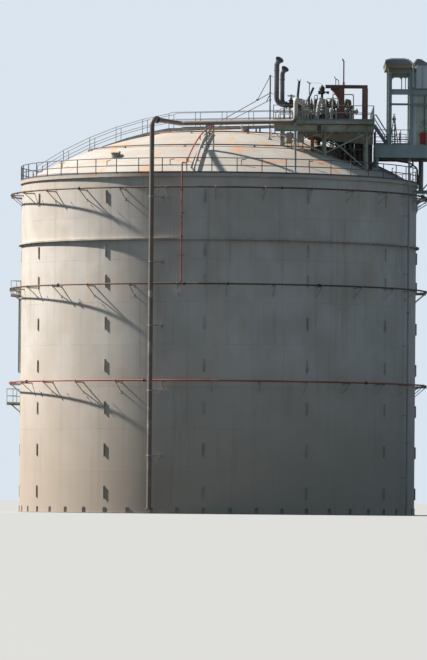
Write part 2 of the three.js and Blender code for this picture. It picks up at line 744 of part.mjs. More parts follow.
const stepOutline = nosing.flatMap(([distance, level], i) => {
  const riser = [distance, level];
  return i === 0 ? [riser] : [[distance, level - walkRise], riser];
});
const underside = WALK_UNDERSIDE_AT
  .map((distance) => [distance, domeHeight(distance) + WALK_UNDERSIDE]);
const walkOutline = [
  ...stepOutline,
  [WALK_END, WALK_TOP],
  [WALK_END, WALK_TOP - WALK_PLATE],
  [WALK_UNDERSIDE_AT[0], WALK_TOP - WALK_PLATE],
  ...underside,
  [nosing[0][0], RIM_HEIGHT + WALK_UNDERSIDE],
];

function walkFoot(distance, top) {
  const length = WALK_FOOT / 2;
  const half = WALK_WIDTH / 2 - WALK_FOOT_INSET;
  return block(distance - length, distance + length, -half, half, top - 3 * SEAT_DEPTH, top);
}
const bite = WALK_PLATE / 2;
const walkPieces = [
  plate(walkOutline, WALK_WIDTH),
  ...WALK_FEET.map((distance) => walkFoot(distance, domeHeight(distance) + WALK_UNDERSIDE + bite)),
  walkFoot(WALK_END_FOOT, WALK_TOP - bite),
].map((piece) => atAngle(piece, WALK_ANGLE));
addPart('roof_walkway', join(walkPieces).subtract(roofTrim), platformPaint);

// Handrail along one side of the walkway: posts about every 2 m and a side plate at the treads
function walkRail() {
  const from = nosing[0][0] + 2 * WALK_FOOT_INSET;
  const step = (WALK_END - from) / WALK_RAIL_BAYS;
  const marks = anglesFrom(from, WALK_END, WALK_RAIL_BAYS);
  const bends = marks.filter((mark, i) =>
    i === 0 || i === WALK_RAIL_BAYS || walkBase(marks[i - 1]) < WALK_TOP);
  const curve = (lift) => bends.map((distance) => [distance, walkBase(distance) + lift]);
  const outline = [...curve(-WALK_RAIL_SKIRT), ...curve(RAIL_HEIGHT).reverse()];
  const windows = [];
  for (let i = 0; i < WALK_RAIL_BAYS; i += 1) {
    const [left, right] = [marks[i] + RAIL_BAR / 2, marks[i + 1] - RAIL_BAR / 2];
    const line = (distance, lift) => {
      const share = (distance - marks[i]) / step;
      const base = walkBase(marks[i]) * (1 - share) + walkBase(marks[i + 1]) * share;
      return [distance, base + lift];
    };
    const [low, high] = [WALK_RAIL_SILL, RAIL_HEIGHT - RAIL_BAR];
    windows.push([line(left, low), line(right, low), line(right, high), line(left, high)]);
  }
  return piercedPlate(outline, RAIL_BAR, windows);
}
const railOffset = WALK_WIDTH / 2 + RAIL_BAR / 2 + SEAT_GAP;
for (const [name, side] of [['front', -1], ['back', 1]]) {
  const rail = atAngle(walkRail().translate(0, side * railOffset, 0), WALK_ANGLE);
  addPart(`walkway_rail_${name}`, solid(rail).subtract(roofTrim), galvanised);
}

// Caged ladder flights: stiles and rungs as one pierced plate, hoops and straps round them
function ladderFlight(angle, low, high, standoffs) {
  const plane = LADDER_RADIUS + STILE / 2;
  const [inside, outside] = [LADDER_HALF_WIDTH - STILE, LADDER_HALF_WIDTH];
  const rungs = Math.floor((high - low) / RUNG_STEP);
  const half = RUNG / 2;
  const windows = Array.from({ length: rungs - 1 }, (_, i) => {
    const base = low + RUNG_STEP * (i + 1);
    return rectangle(-inside, inside, base + half, base + RUNG_STEP - half);
  });
  const firstRung = low + RUNG_STEP - half;
  const lastRung = low + RUNG_STEP * rungs + half;
  const top = high + RAIL_HEIGHT;
  const outline = [
    [-outside, low], [-inside, low], [-inside, firstRung], [inside, firstRung], [inside, low],
    [outside, low], [outside, top], [inside, top], [inside, lastRung], [-inside, lastRung],
    [-inside, top], [-outside, top],
  ];
  const ladder = piercedPlate(outline, STILE, windows);
  const pieces = [ladder.rotateZ(Math.PI / 2).translate(plane, 0, 0)];
  const [cageLow, cageHigh] = [low + CAGE_LOW, high - CAGE_HIGH];
  const centre = plane + CAGE_CENTRE;
  const arc = (radius) => CAGE_ANGLES.map((turn) => [
    centre + radius * Math.cos(radians(turn)), radius * Math.sin(radians(turn)),
  ]);
  const hoop = [...arc(CAGE_RADIUS), ...arc(CAGE_RADIUS - CAGE_STRAP).reverse()];
  for (const z of anglesFrom(cageLow, cageHigh - HOOP_DEPTH, CAGE_HOOPS - 1)) {
    pieces.push(slab(hoop, z, z + HOOP_DEPTH));
  }
  for (const turn of CAGE_ANGLES.slice(1, -1)) {
    const strap = barAlongX(CAGE_RADIUS - CAGE_STRAP, CAGE_RADIUS, 0, 2 * CAGE_STRAP, cageLow, cageHigh);
    pieces.push(strap.rotateZ(radians(turn)).translate(centre, 0, 0));
  }
  const root = wallFace(angle, 2 * LADDER_HALF_WIDTH + STANDOFF / 3);
  for (const z of standoffs) {
    for (const y of [STILE / 2 - LADDER_HALF_WIDTH, LADDER_HALF_WIDTH - STILE / 2]) {
      pieces.push(barAlongX(root, plane, y, STANDOFF, z - STANDOFF / 2, z + STANDOFF / 2));
    }
  }
  return join(pieces.map((piece) => atAngle(piece, angle)));
}

const [lowerArms, middleArms, upperArms] = STANDOFFS;
const flightAbove = LANDING_LOWER + SEAT_GAP;
const flightToRim = LANDING_UPPER + SEAT_GAP;
const lowerFlight = ladderFlight(LADDER_ANGLE_OUTER, 0, LANDING_LOWER, lowerArms);
const middleFlight = ladderFlight(LADDER_ANGLE_MIDDLE, flightAbove, LANDING_UPPER, middleArms);
const upperFlight = ladderFlight(LADDER_ANGLE_OUTER, flightToRim, RIM_HEIGHT, upperArms);
const { inner: exitInner, outer: exitOuter, width: exitWidth, low: exitLow, high: exitHigh } = EXIT_PLATE;
const exitPlate = [
  barAlongX(exitInner, exitOuter, 0, exitWidth, exitLow, exitHigh),
  plate(EXIT_GUSSET, EXIT_GUSSET_WIDTH),
].map((piece) => atAngle(piece, LADDER_ANGLE_OUTER));
const flightWithExit = upperFlight.add(join(exitPlate)).subtract(wallTrim).subtract(roofTrim);
addPart('ladder_lower', lowerFlight, galvanised);
addPart('ladder_middle', middleFlight, galvanised);
addPart('ladder_upper', flightWithExit, galvanised);

// Ladder landings: a curved floor with a hatch, on three brackets, with a handrail on the open sides
function landing(top, [from, to], hatchAngle, arms) {
  const base = top - LANDING_FLOOR;
  const angles = anglesFrom(from, to, LANDING_STEPS);
  const innerEdge = arcOutline(LANDING_INNER, [...angles].reverse());
  const outline = [...arcOutline(LANDING_OUTER, angles), ...innerEdge];
  const [near, far] = [LADDER_RADIUS - HATCH_BEHIND, LANDING_OUTER - LANDING_EDGE];
  const hatch = block(near, far, -HATCH_HALF, HATCH_HALF, base - LANDING_FLOOR, top + LANDING_FLOOR);
  let body = solid(slab(outline, base, top)).subtract(solid(atAngle(hatch, hatchAngle)));
  const { inset, drop, width, arm } = LANDING_BRACKET;
  for (const angle of arms) {
    const bracket = wallBracket(angle, base + BRACKET_BITE, LANDING_OUTER - inset, drop, width, arm);
    body = body.add(solid(bracket));
  }
  const [sill, height] = [LANDING_FLOOR + TOE_BOARD, RAIL_HEIGHT + LANDING_FLOOR];
  body = body.add(curvedRail(LANDING_OUTER - RAIL_BAR, LANDING_OUTER, angles, base, sill, height));
  for (const [angle, side] of [[from, 1], [to, -1]]) {
    const edge = LANDING_OUTER - LANDING_PANEL_INSET;
    const border = rectangle(LANDING_INNER, edge, base, top + RAIL_HEIGHT);
    const [left, right] = [LANDING_INNER + RAIL_BAR, edge - RAIL_BAR];
    const window = rectangle(left, right, top + TOE_BOARD, top + RAIL_HEIGHT - RAIL_BAR);
    const panel = piercedPlate(border, RAIL_BAR, [window]).translate(0, (side * RAIL_BAR) / 2, 0);
    body = body.add(solid(atAngle(panel, angle)));
  }
  return body.subtract(wallTrim);
}
const lowerLanding = landing(LANDING_LOWER, LOWER_SPAN, LADDER_ANGLE_OUTER, LOWER_ARMS);
const upperLanding = landing(LANDING_UPPER, UPPER_SPAN, LADDER_ANGLE_MIDDLE, UPPER_ARMS);
addPart('landing_lower', lowerLanding, platformPaint);
addPart('landing_upper', upperLanding, platformPaint);

// Vapour line: a downcomer to the ground, a header across the front of the dome, an arch to the deck
function flange(centre, direction, radius, thickness = FLANGE) {
  const half = direction.clone().normalize().multiplyScalar(thickness / 2);
  return rod(centre.clone().sub(half), centre.clone().add(half), radius, 10);
}

const up = point(0, 0, 1);
const vapourBend = point(...VAPOUR_CORNER, VAPOUR_HEIGHT);
const downcomerTop = polar(DOWNCOMER_RADIUS, DOWNCOMER_ANGLE, VAPOUR_HEIGHT);
const downcomerFoot = polar(DOWNCOMER_RADIUS, DOWNCOMER_ANGLE, DOWNCOMER_FOOT);
const towardBend = vapourBend.clone().sub(downcomerTop).normalize();
const downcomerJoint = downcomerTop.clone().addScaledVector(towardBend, DOWNCOMER_JOINT);
const jointCentre = downcomerJoint.clone().addScaledVector(towardBend, -FLANGE / 2);
const footCentre = downcomerFoot.clone().setZ(DOWNCOMER_FOOT + FLANGE / 2);
const downcomer = [
  tube(withBends([downcomerJoint, downcomerTop, downcomerFoot], DOWNCOMER_BEND), VAPOUR_PIPE),
  flange(jointCentre, towardBend, VAPOUR_PIPE + FLANGE_RIM),
  flange(footCentre, up, VAPOUR_PIPE + FOOT_FLANGE_RIM),
];
const armSpread = THREE.MathUtils.radToDeg(DOWNCOMER_ARM_SPREAD / TANK_RADIUS);
for (const z of DOWNCOMER_ARMS) {
  for (const angle of [DOWNCOMER_ANGLE - armSpread, DOWNCOMER_ANGLE + armSpread]) {
    const root = wallFace(angle, 2 * DOWNCOMER_ARM) + DOWNCOMER_ARM / 2;
    const start = polar(root, angle, z);
    downcomer.push(beam(start, polar(DOWNCOMER_RADIUS, DOWNCOMER_ANGLE, z), DOWNCOMER_ARM));
  }
}
addPart('vapour_downcomer', join(downcomer).subtract(wallTrim), pipeGrey);

const headerStart = downcomerJoint.clone().addScaledVector(towardBend, FLANGE + SEAT_GAP);
const deckFoot = DECK_TOP + SEAT_GAP;
const headerRoute = withBends([
  headerStart.clone().addScaledVector(towardBend, -FLANGE),
  vapourBend,
  point(...ARCH_FOOT, VAPOUR_HEIGHT),
  point(...ARCH_FOOT, ARCH_TOP),
  point(...ARCH_END, ARCH_TOP),
  point(...ARCH_END, deckFoot),
], VAPOUR_BEND);
const [archX, archY] = ARCH_FOOT;
const headerFlange = headerStart.clone().addScaledVector(towardBend, -FLANGE / 2);
const vapourHeader = join([
  tube(headerRoute, VAPOUR_PIPE),
  flange(headerFlange, towardBend, VAPOUR_PIPE + FLANGE_RIM),
  flange(point(...ARCH_END, deckFoot + FLANGE / 2), up, VAPOUR_PIPE + FOOT_FLANGE_RIM),
  upright(archX, archY + ARCH_POST_BEHIND, RIM_HEIGHT - SEAT_DEPTH, VAPOUR_HEIGHT, ARCH_POST, 8),
  ...TRESTLE_FEET.map(([x, y]) =>
    upright(x, y, TRESTLE_BASE, VAPOUR_HEIGHT - TRESTLE_POST, TRESTLE_POST, 6)),
]);
addPart('vapour_header', vapourHeader.subtract(roofTrim), pipeGrey);

// Red riser over the rim to the middle spray ring
const middleRing = SPRAY_RINGS[1].height;
const riserOnDome = RISER_DOME_RADII
  .map((radius) => polar(radius, RISER_ANGLE, domeHeight(radius) + RISER_LIFT));
const riserOverRim = [
  riserOnDome[riserOnDome.length - 1],
  polar(RISER_RADIUS, RISER_ANGLE, RISER_OVER),
  polar(RISER_RADIUS, RISER_ANGLE, middleRing),
  polar(RING_RADIUS - RING_PIPE - ROOF_RING_PIPE, RISER_ANGLE, middleRing),
];
const riserRoute = [...riserOnDome.slice(0, -1), ...withBends(riserOverRim, RISER_BEND, 3)];
const riser = [tube(riserRoute, RISER_PIPE, 6)];
for (const radius of RISER_FEET) {
  const top = domeHeight(radius) + RISER_LIFT + BRACKET_BITE;
  riser.push(atAngle(post(radius, 0, RISER_ARM, top - SEAT_DEPTH, top), RISER_ANGLE));
}

// An arm from the wall to a pipe that runs down beside it
function pipeArm(angle, reach, width, z) {
  const root = wallFace(angle, width);
  return atAngle(barAlongX(root, reach, 0, width, z - width / 2, z + width / 2), angle);
}
riser.push(...RISER_ARMS.map((z) => pipeArm(RISER_ANGLE, RISER_RADIUS, RISER_ARM, z)));
addPart('drench_riser', join(riser).subtract(roofTrim), redPaint);

// Grey feed pipe on the dome, turned down through the roof at both ends
const feedRoute = FEED_RADII
  .map((radius) => polar(radius, FEED_ANGLE, domeHeight(radius) + FEED_LIFT));
const lastFeed = feedRoute.length - 1;
const feedStart = feedRoute[0].clone().setZ(domeHeight(FEED_RADII[0]) - FEED_BURIED);
const feedEnd = feedRoute[lastFeed].clone().setZ(RIM_HEIGHT - SEAT_DEPTH);
const feedPipe = tube([
  ...withBends([feedStart, feedRoute[0], feedRoute[1]], FEED_BEND, 3).slice(0, -1),
  ...feedRoute.slice(1, -1),
  ...withBends([feedRoute[lastFeed - 1], feedRoute[lastFeed], feedEnd], FEED_BEND, 3).slice(1),
], FEED_PIPE);
addPart('roof_feed_pipe', solid(feedPipe).subtract(roofTrim), pipeGrey);

// Roof platform: three girder frames on columns, and a deck of joists and plate with a handrail
const alongX = point(1, 0, 0);
const joistTop = DECK_TOP - DECK_PLATE;
const girderTop = joistTop - JOIST_DEPTH - SEAT_GAP;

// Where the deck's slanted side stands at y, a gap clear of the walkway's end
function deckEdge(y) {
  const turn = radians(WALK_ANGLE);
  return (WALK_END + DECK_GAP + y * Math.cos(turn)) / Math.sin(turn);
}
const deckOutline = [
  [DECK_LEFT, DECK_FRONT],
  [DECK_RIGHT, DECK_FRONT],
  [DECK_RIGHT, DECK_BACK],
  [deckEdge(DECK_BACK), DECK_BACK],
  [deckEdge(DECK_CORNER), DECK_CORNER],
  [DECK_LEFT, DECK_CORNER],
];
const deckPieces = [slab(deckOutline, joistTop, DECK_TOP)];
for (const y of anglesFrom(DECK_FRONT + JOIST_INSET, DECK_BACK - JOIST_INSET, JOISTS - 1)) {
  const left = (y < DECK_CORNER ? DECK_LEFT : deckEdge(y)) + JOIST_INSET;
  const right = DECK_RIGHT - BRACKET_BITE;
  deckPieces.push(barAlongX(left, right, y, JOIST_WIDTH, joistTop - JOIST_DEPTH, joistTop + JOIST_BITE));
}
addPart('platform_deck', join(deckPieces), platformPaint);

function girderFrame({ y, left, right, columns }, extra = []) {
  const girder = barAlongX(left, right, y, GIRDER_WIDTH, girderTop - GIRDER_BEAM, girderTop);
  const posts = columns.map((x) =>
    post(x, y, COLUMN, domeHeight(Math.hypot(x, y)) - SEAT_DEPTH, girderTop - BRACKET_BITE));
  return join([girder, ...extra, ...posts]).subtract(roofTrim);
}
const skirt = plate(SKIRT, SKIRT_PLATE).translate(0, FRONT_FRAME.y, 0);
addPart('platform_frame_front', girderFrame(FRONT_FRAME, [skirt]), platformPaint);
addPart('platform_frame_middle', girderFrame(MIDDLE_FRAME), platformPaint);
addPart('platform_frame_back', girderFrame(BACK_FRAME), platformPaint);

// A straight handrail with windows, drawn from its left post along x
function straightRail(length, bays) {
  const step = length / bays;
  const half = RAIL_BAR / 2;
  const windows = Array.from({ length: bays }, (_, i) =>
    rectangle(step * i + half, step * (i + 1) - half, TOE_BOARD, RAIL_HEIGHT - RAIL_BAR));
  return piercedPlate(rectangle(-half, length + half, 0, RAIL_HEIGHT), RAIL_BAR, windows);
}

function frontRail(from, to, bays, y) {
  return straightRail(to - from, bays).translate(from, y, deckFoot);
}

function sideRail(length, bays, x, y) {
  return straightRail(length, bays).rotateZ(Math.PI / 2).translate(x, y, deckFoot);
}
const [archLeft, archRight] = ARCH_BAY;
const { left: railLeft, right: railRight, front: railFront, back: railBack } = PLATFORM_RAIL;
const lowRail = deckFoot + LOW_RAIL;
addPart('platform_rail_front', join([
  sideRail(LEFT_RAIL_LENGTH, 1, railLeft, railFront),
  frontRail(railLeft, archLeft, 1, railFront),
  barAlongX(archLeft, archRight, railFront, RAIL_BAR, deckFoot, deckFoot + TOE_BOARD),
  barAlongX(archLeft, archRight, railFront, RAIL_BAR, lowRail - RAIL_BAR, lowRail),
  frontRail(archRight, railRight, 3, railFront),
  sideRail(RIGHT_RAIL_LENGTH, 2, railRight, railFront),
]), galvanised);
addPart('platform_rail_back', join([
  frontRail(deckEdge(DECK_BACK) + JOIST_INSET, railRight, 2, railBack),
  sideRail(railBack - BACK_RAIL_START, 3, railRight, BACK_RAIL_START),
]), galvanised);

// Shelter deck: floor plate with deep edge beams and two cross beams, on legs that stand on the dome
const shelterBase = SHELTER_FLOOR - SHELTER_BEAM;
const shelterPieces = [
  block(
    SHELTER_LEFT, SHELTER_RIGHT,
    SHELTER_FRONT, SHELTER_BACK,
    SHELTER_FLOOR - SHELTER_PLATE, SHELTER_FLOOR,
  ),
];
for (const y of SHELTER_BEAM_LINES) {
  const [left, right] = [SHELTER_LEFT + SHELTER_SIDE_INSET, SHELTER_RIGHT - SHELTER_SIDE_INSET];
  shelterPieces.push(block(left, right, y, y + SHELTER_FLANGE, shelterBase, SHELTER_FLOOR - BRACKET_BITE));
}
for (const x of SHELTER_CROSS_LINES) {
  const [front, back] = [SHELTER_FRONT + SHELTER_CROSS_INSET, SHELTER_BACK - SHELTER_CROSS_INSET];
  const [low, high] = [shelterBase + CROSS_LIFT, SHELTER_FLOOR - BRACKET_BITE - CROSS_LIFT];
  shelterPieces.push(block(x, x + SHELTER_FLANGE, front, back, low, high));
}
for (const x of SHELTER_LEGS) {
  for (const y of [SHELTER_FRONT + SHELTER_LEG_INSET, SHELTER_BACK - SHELTER_LEG_INSET]) {
    const foot = domeHeight(Math.hypot(x, y)) - SEAT_DEPTH;
    shelterPieces.push(post(x, y, COLUMN, foot, shelterBase + BRACKET_BITE));
  }
}
addPart('shelter_deck', join(shelterPieces).subtract(roofTrim), deckBlue);

// Bracket frames that carry the outer half of the shelter: a beam and a knee brace off the shell,
// and two posts up to the deck
function shelterBracket(y) {
  const { top, depth, width, left, right } = BRACKET_BEAM;
  const [low, high] = [BRACKET_KNEE.low, BRACKET_KNEE.high].map(([x, z]) => point(x, y, z));
  const pieces = [
    barAlongX(left, right, y, width, top - depth, top),
    beam(low, high, BRACKET_KNEE.width),
  ];
  for (const x of BRACKET_POSTS) {
    const [near, far] = [x - width / 2, x + width / 2];
    const side = width - 2 * CROSS_LIFT;
    pieces.push(barAlongX(near, far, y, side, top - BRACKET_BITE, shelterBase - SEAT_GAP));
  }
  return join(pieces).subtract(wallTrim);
}
addPart('shelter_bracket_front', shelterBracket(BRACKET_FRONT), deckBlue);
addPart('shelter_bracket_back', shelterBracket(BRACKET_BACK), deckBlue);

// Steep stair from the roof platform down to the shelter deck
const { top: stairTop, left: stairLeft, right: stairRight, front: stairFront } = STAIR;
const stairBack = stairFront + STAIR.width;
const [stringerWidth, stringerDepth] = STAIR_STRINGER;
const stringerStart = stairLeft + STRINGER_DROP;
const stringerHead = stairTop - STRINGER_DROP;
const stairPieces = [];
for (let i = 0; i < STAIR.treads; i += 1) {
  const part = (i + TREAD.first) / STAIR.treads;
  const x = stringerStart + part * (stairRight - stringerStart);
  const z = stringerHead + part * (SHELTER_FLOOR + stringerDepth - stairTop);
  const [near, far] = [x - TREAD.length / 2, x + TREAD.length / 2];
  stairPieces.push(block(near, far, stairFront, stairBack, z - TREAD.below, z + TREAD.above));
}
const shoeRight = stairRight + STAIR_SHOE.beyond;
const shoeTop = SHELTER_FLOOR + STAIR_SHOE.height;
const railPostTop = stairLeft + STAIR_RAIL.inset;
const railPostFoot = stairRight - STAIR_RAIL.inset;
const railHead = stairTop + STAIR_RAIL.topHeight;
const railFoot = SHELTER_FLOOR + STAIR_RAIL.footHeight;
const { bite: railBite } = STAIR_RAIL;
for (const y of [stairFront, stairBack]) {
  const stringerTop = point(stringerStart, y, stringerHead);
  const stringerFoot = point(stairRight, y, SHELTER_FLOOR + STRINGER_LIFT);
  const railStart = point(railPostTop, y, railHead - railBite);
  const railEnd = point(stairRight - STAIR_RAIL.end, y, railFoot - railBite);
  const base = SHELTER_FLOOR + SEAT_GAP;
  const { width, length } = STAIR_SHOE;
  stairPieces.push(
    beam(stringerTop, stringerFoot, stringerWidth, stringerDepth),
    barAlongX(shoeRight - length, shoeRight, y, width, base, shoeTop),
    barAlongX(stairLeft, stairLeft + STAIR_HEAD.length, y, width, stairTop - STAIR_HEAD.depth, stairTop),
    barAlongX(railPostTop, railPostTop + RAIL_BAR, y, RAIL_BAR, stairTop - railBite, railHead),
    barAlongX(railPostFoot, railPostFoot + RAIL_BAR, y, RAIL_BAR, shoeTop - railBite, railFoot),
    beam(railStart, railEnd, RAIL_BAR),
  );
}
addPart('platform_stair', join(stairPieces), galvanised);

// Shelter frames: four columns, rails and knee braces under the roof of the open bay
function shelterFrame([front, back], rails) {
  const from = SHELTER_COLUMNS[0] + FRAME_INSET;
  const to = SHELTER_COLUMNS[SHELTER_COLUMNS.length - 1] + SHELTER_COLUMN - FRAME_INSET;
  const foot = SHELTER_FLOOR + SEAT_GAP;
  const pieces = SHELTER_COLUMNS.map((x) =>
    block(x, x + SHELTER_COLUMN, front, back, foot, SHELTER_EAVES - FRAME_INSET / 2));
  for (const [low, high] of rails) {
    pieces.push(block(from, to, front + FRAME_INSET, back - FRAME_INSET, low, high));
  }
  const y = (front + back) / 2;
  for (const [column, side] of KNEE_PLACES) {
    const x = SHELTER_COLUMNS[column] + (side > 0 ? SHELTER_COLUMN : 0);
    const low = point(x - KNEE.bite * side, y, SHELTER_EAVES - KNEE.low);
    const high = point(x + KNEE.reach * side, y, SHELTER_EAVES - KNEE.high);
    pieces.push(beam(low, high, KNEE.width));
  }
  return join(pieces);
}
addPart('shelter_frame_front', shelterFrame(FRAME_FRONT, FRONT_RAILS), deckBlue);
addPart('shelter_frame_back', shelterFrame(FRAME_BACK, [EAVES_RAIL]), deckBlue);

// Cabin at the outer end of the shelter: three clad walls, open towards the covered bay
const { left: cabinLeft, right: cabinRight, front: cabinFront, back: cabinBack } = CABIN;
const cabinOutline = [
  [cabinLeft, cabinFront],
  [cabinRight, cabinFront],
  [cabinRight, cabinBack],
  [cabinLeft, cabinBack],
  [cabinLeft, cabinBack - CABIN_WALL],
  [cabinRight - CABIN_WALL, cabinBack - CABIN_WALL],
  [cabinRight - CABIN_WALL, cabinFront + CABIN_WALL],
  [cabinLeft, cabinFront + CABIN_WALL],
];
const cabinWalls = solid(slab(cabinOutline, SHELTER_FLOOR + SEAT_GAP, SHELTER_EAVES));
addPart('cabin_walls', cabinWalls, claddingPaint);

// Two low roofs with rounded edges and a gap between them: one over the covered bay, one over the cabin
function lowRoof(top) {
  const [right, left] = [top[0][0], top[top.length - 1][0]];
  const outline = [[left, SHELTER_EAVES + SEAT_GAP], [right, SHELTER_EAVES + SEAT_GAP], ...top];
  const depth = SHELTER_BACK - SHELTER_FRONT + 2 * ROOF_OVERHANG;
  return solid(plate(outline, depth).translate(0, (SHELTER_FRONT + SHELTER_BACK) / 2, 0));
}
addPart('canopy_roof', lowRoof(CANOPY), platformPaint);
addPart('cabin_roof', lowRoof(CABIN_ROOF), claddingPaint);
const { left: boxLeft, right: boxRight, front: boxFront, back: boxBack } = CABINET;
const cabinetFoot = SHELTER_FLOOR + SEAT_GAP;
const cabinetTop = SHELTER_FLOOR + CABINET.height;
const cabinet = solid(block(boxLeft, boxRight, boxFront, boxBack, cabinetFoot, cabinetTop));
addPart('hose_cabinet', cabinet, boxRed);

// Vent stacks over the front left corner of the platform: each comes in level on a stand, turns up,
// in two steps, and leans forward at the top into a wide mouth
function ventStack({ x, y, radius, top, inlet }) {
  const start = point(inlet, y, STACK_INLET);
  const neck = point(x, y, top - STACK_NECK);
  const leaning = point(STACK_MOUTH.right, -STACK_MOUTH.forward, STACK_MOUTH.up);
  const end = neck.clone().add(leaning);
  const corners = [
    start,
    point(x + STACK_CORNER, y, STACK_INLET),
    point(x, y, STACK_INLET + STACK_CORNER),
    neck,
    end,
  ];
  const standTop = STACK_INLET - radius + SEAT_DEPTH;
  return join([
    tube(withBends(corners, STACK_BEND * radius), radius, 10),
    flange(end, leaning.normalize(), radius + STACK_MOUTH.rim, RAIL_BAR),
    flange(start, alongX, radius + STACK_RIM, RAIL_BAR),
    post(x + STACK_STAND.offset, y, STACK_STAND.post, deckFoot, standTop),
  ]);
}
addPart('vent_stack_tall', ventStack(TALL_STACK), pipeGrey);
addPart('vent_stack_short', ventStack(SHORT_STACK), pipeGrey);

// Mast beside the platform, with two long braces down to the dome and a short stay
const { x: mastX, y: mastY } = MAST;
const mastFoot = domeHeight(Math.hypot(mastX, mastY)) - SEAT_DEPTH;
const mastPieces = [
  upright(mastX, mastY, mastFoot, MAST.top, MAST.radius, 8),
  rod(point(mastX, mastY, MAST_STAY.from), point(...MAST_STAY.end), MAST_STAY.radius),
];
for (const { from, radius, foot } of MAST_BRACES) {
  const base = point(...foot, domeHeight(Math.hypot(...foot)) - MAST.radius);
  mastPieces.push(rod(point(mastX, mastY, from), base, radius));
}
addPart('guyed_mast', join(mastPieces).subtract(roofTrim), galvanised);

// Valve manifold on the platform: a header on stands, relief valves and their tail pipes
const { y: headerY, z: headerZ, radius: headerRadius } = HEADER;
const headerPoint = (x) => point(x, headerY, headerZ);
const manifoldPieces = [
  rod(headerPoint(HEADER.left), headerPoint(HEADER.right), headerRadius, 10),
  ...HEADER_FLANGES.map(([x, thickness]) =>
    flange(headerPoint(x), alongX, headerRadius + FLANGE_RIM, thickness)),
];
for (const x of HEADER_STANDS) {
  manifoldPieces.push(post(x, headerY, STAND.post, deckFoot, headerZ - headerRadius + STAND.bite));
  manifoldPieces.push(post(x, headerY, STAND.foot, deckFoot, DECK_TOP + STAND.plate));
}
for (const { x, tip, tail } of RELIEF_VALVES) {
  const crown = headerZ + RELIEF.height;
  manifoldPieces.push(
    upright(x, headerY, headerZ, crown, RELIEF.body, 8),
    flange(point(x, headerY, headerZ + RELIEF.flangeAt), up, RELIEF.flange),
    rod(point(x, headerY, crown - tail), point(tip[0], headerY, tip[1]), tail, 8),
  );
}
addPart('valve_manifold', join(manifoldPieces), pipeGrey);

// Feed arch from the deck up and over, set down on the manifold's header, with a valve on its crown
const feedArchRoute = withBends([
  point(...FEED_ARCH.start, deckFoot),
  point(...FEED_ARCH.start, FEED_ARCH.knee),
  point(FEED_ARCH.start[0] + FEED_ARCH.lean, FEED_ARCH.start[1], FEED_ARCH.top),
  point(...FEED_ARCH.end, FEED_ARCH.top),
  point(...FEED_ARCH.end, headerZ),
], FEED_ARCH.bend);
const feedFlangeCentre = point(...FEED_ARCH.start, DECK_TOP + FEED_FLANGE.lift);
const headerTrim = rod(headerPoint(HEADER.left), headerPoint(HEADER.right), headerRadius + SEAT_GAP, 10);
const feedArch = join([
  tube(feedArchRoute, FEED_ARCH.pipe),
  flange(feedFlangeCentre, up, FEED_FLANGE.radius, FEED_FLANGE.depth),
  upright(...ACTUATOR.place, FEED_ARCH.top, ACTUATOR.top, ACTUATOR.stem, 8),
  upright(...ACTUATOR.place, ACTUATOR.drumLow, ACTUATOR.top - RAIL_BAR, ACTUATOR.drum, 10),
]);
addPart('feed_arch', feedArch.subtract(solid(headerTrim)), pipeGrey);

// Crane gantry over the manifold: two columns, a cross beam and a davit post with a hooked top
const { low: beamLow, high: beamHigh } = GANTRY_BEAM;
const gantryPoint = (x, z) => point(x, GANTRY_LINE, z);
const [columnLength, columnDepth] = GANTRY_COLUMN;
const gantryPieces = [
  barAlongX(GANTRY_BEAM.left, GANTRY_BEAM.right, GANTRY_LINE, GANTRY_BEAM.width, beamLow, beamHigh),
  beam(gantryPoint(...GANTRY_KNEE.from), gantryPoint(...GANTRY_KNEE.to), GANTRY_KNEE.width),
  tube(withBends([
    gantryPoint(DAVIT.x, DAVIT.low),
    gantryPoint(DAVIT.x, DAVIT.top),
    gantryPoint(DAVIT.hook, DAVIT.top),
  ], DAVIT.bend, 3), DAVIT.radius),
];
for (const x of GANTRY_COLUMNS) {
  const [near, far] = [x - columnLength / 2, x + columnLength / 2];
  const top = beamLow + BRACKET_BITE;
  gantryPieces.push(barAlongX(near, far, GANTRY_LINE, columnDepth, deckFoot, top));
}
addPart('crane_gantry', join(gantryPieces), craneBrown);

// Down pipe on the right side of the shell, from the rim to near the ground
const pipeEnds = DOWNPIPE_ENDS.map((z) => polar(DOWNPIPE_RADIUS, DOWNPIPE_ANGLE, z));
const downPipe = [
  rod(...pipeEnds, DOWNPIPE, 8),
  ...DOWNPIPE_ARMS.map((z) => pipeArm(DOWNPIPE_ANGLE, DOWNPIPE_RADIUS, DOWNPIPE_ARM, z)),
];
addPart('side_downpipe', join(downPipe), pipeGrey);

export default tank;
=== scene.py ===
# %% [markdown]
# # A domed gas storage tank
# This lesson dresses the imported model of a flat-bottomed gas tank. The solids already have their true
# size and place, so Blender adds only what a fine surface needs: round walls, real handrails, valves,
# bolts, weathered paint. Loading comes first, because every later number is measured against the frame.

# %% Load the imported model
import math

import bmesh
import bpy
from mathutils import Matrix, Vector


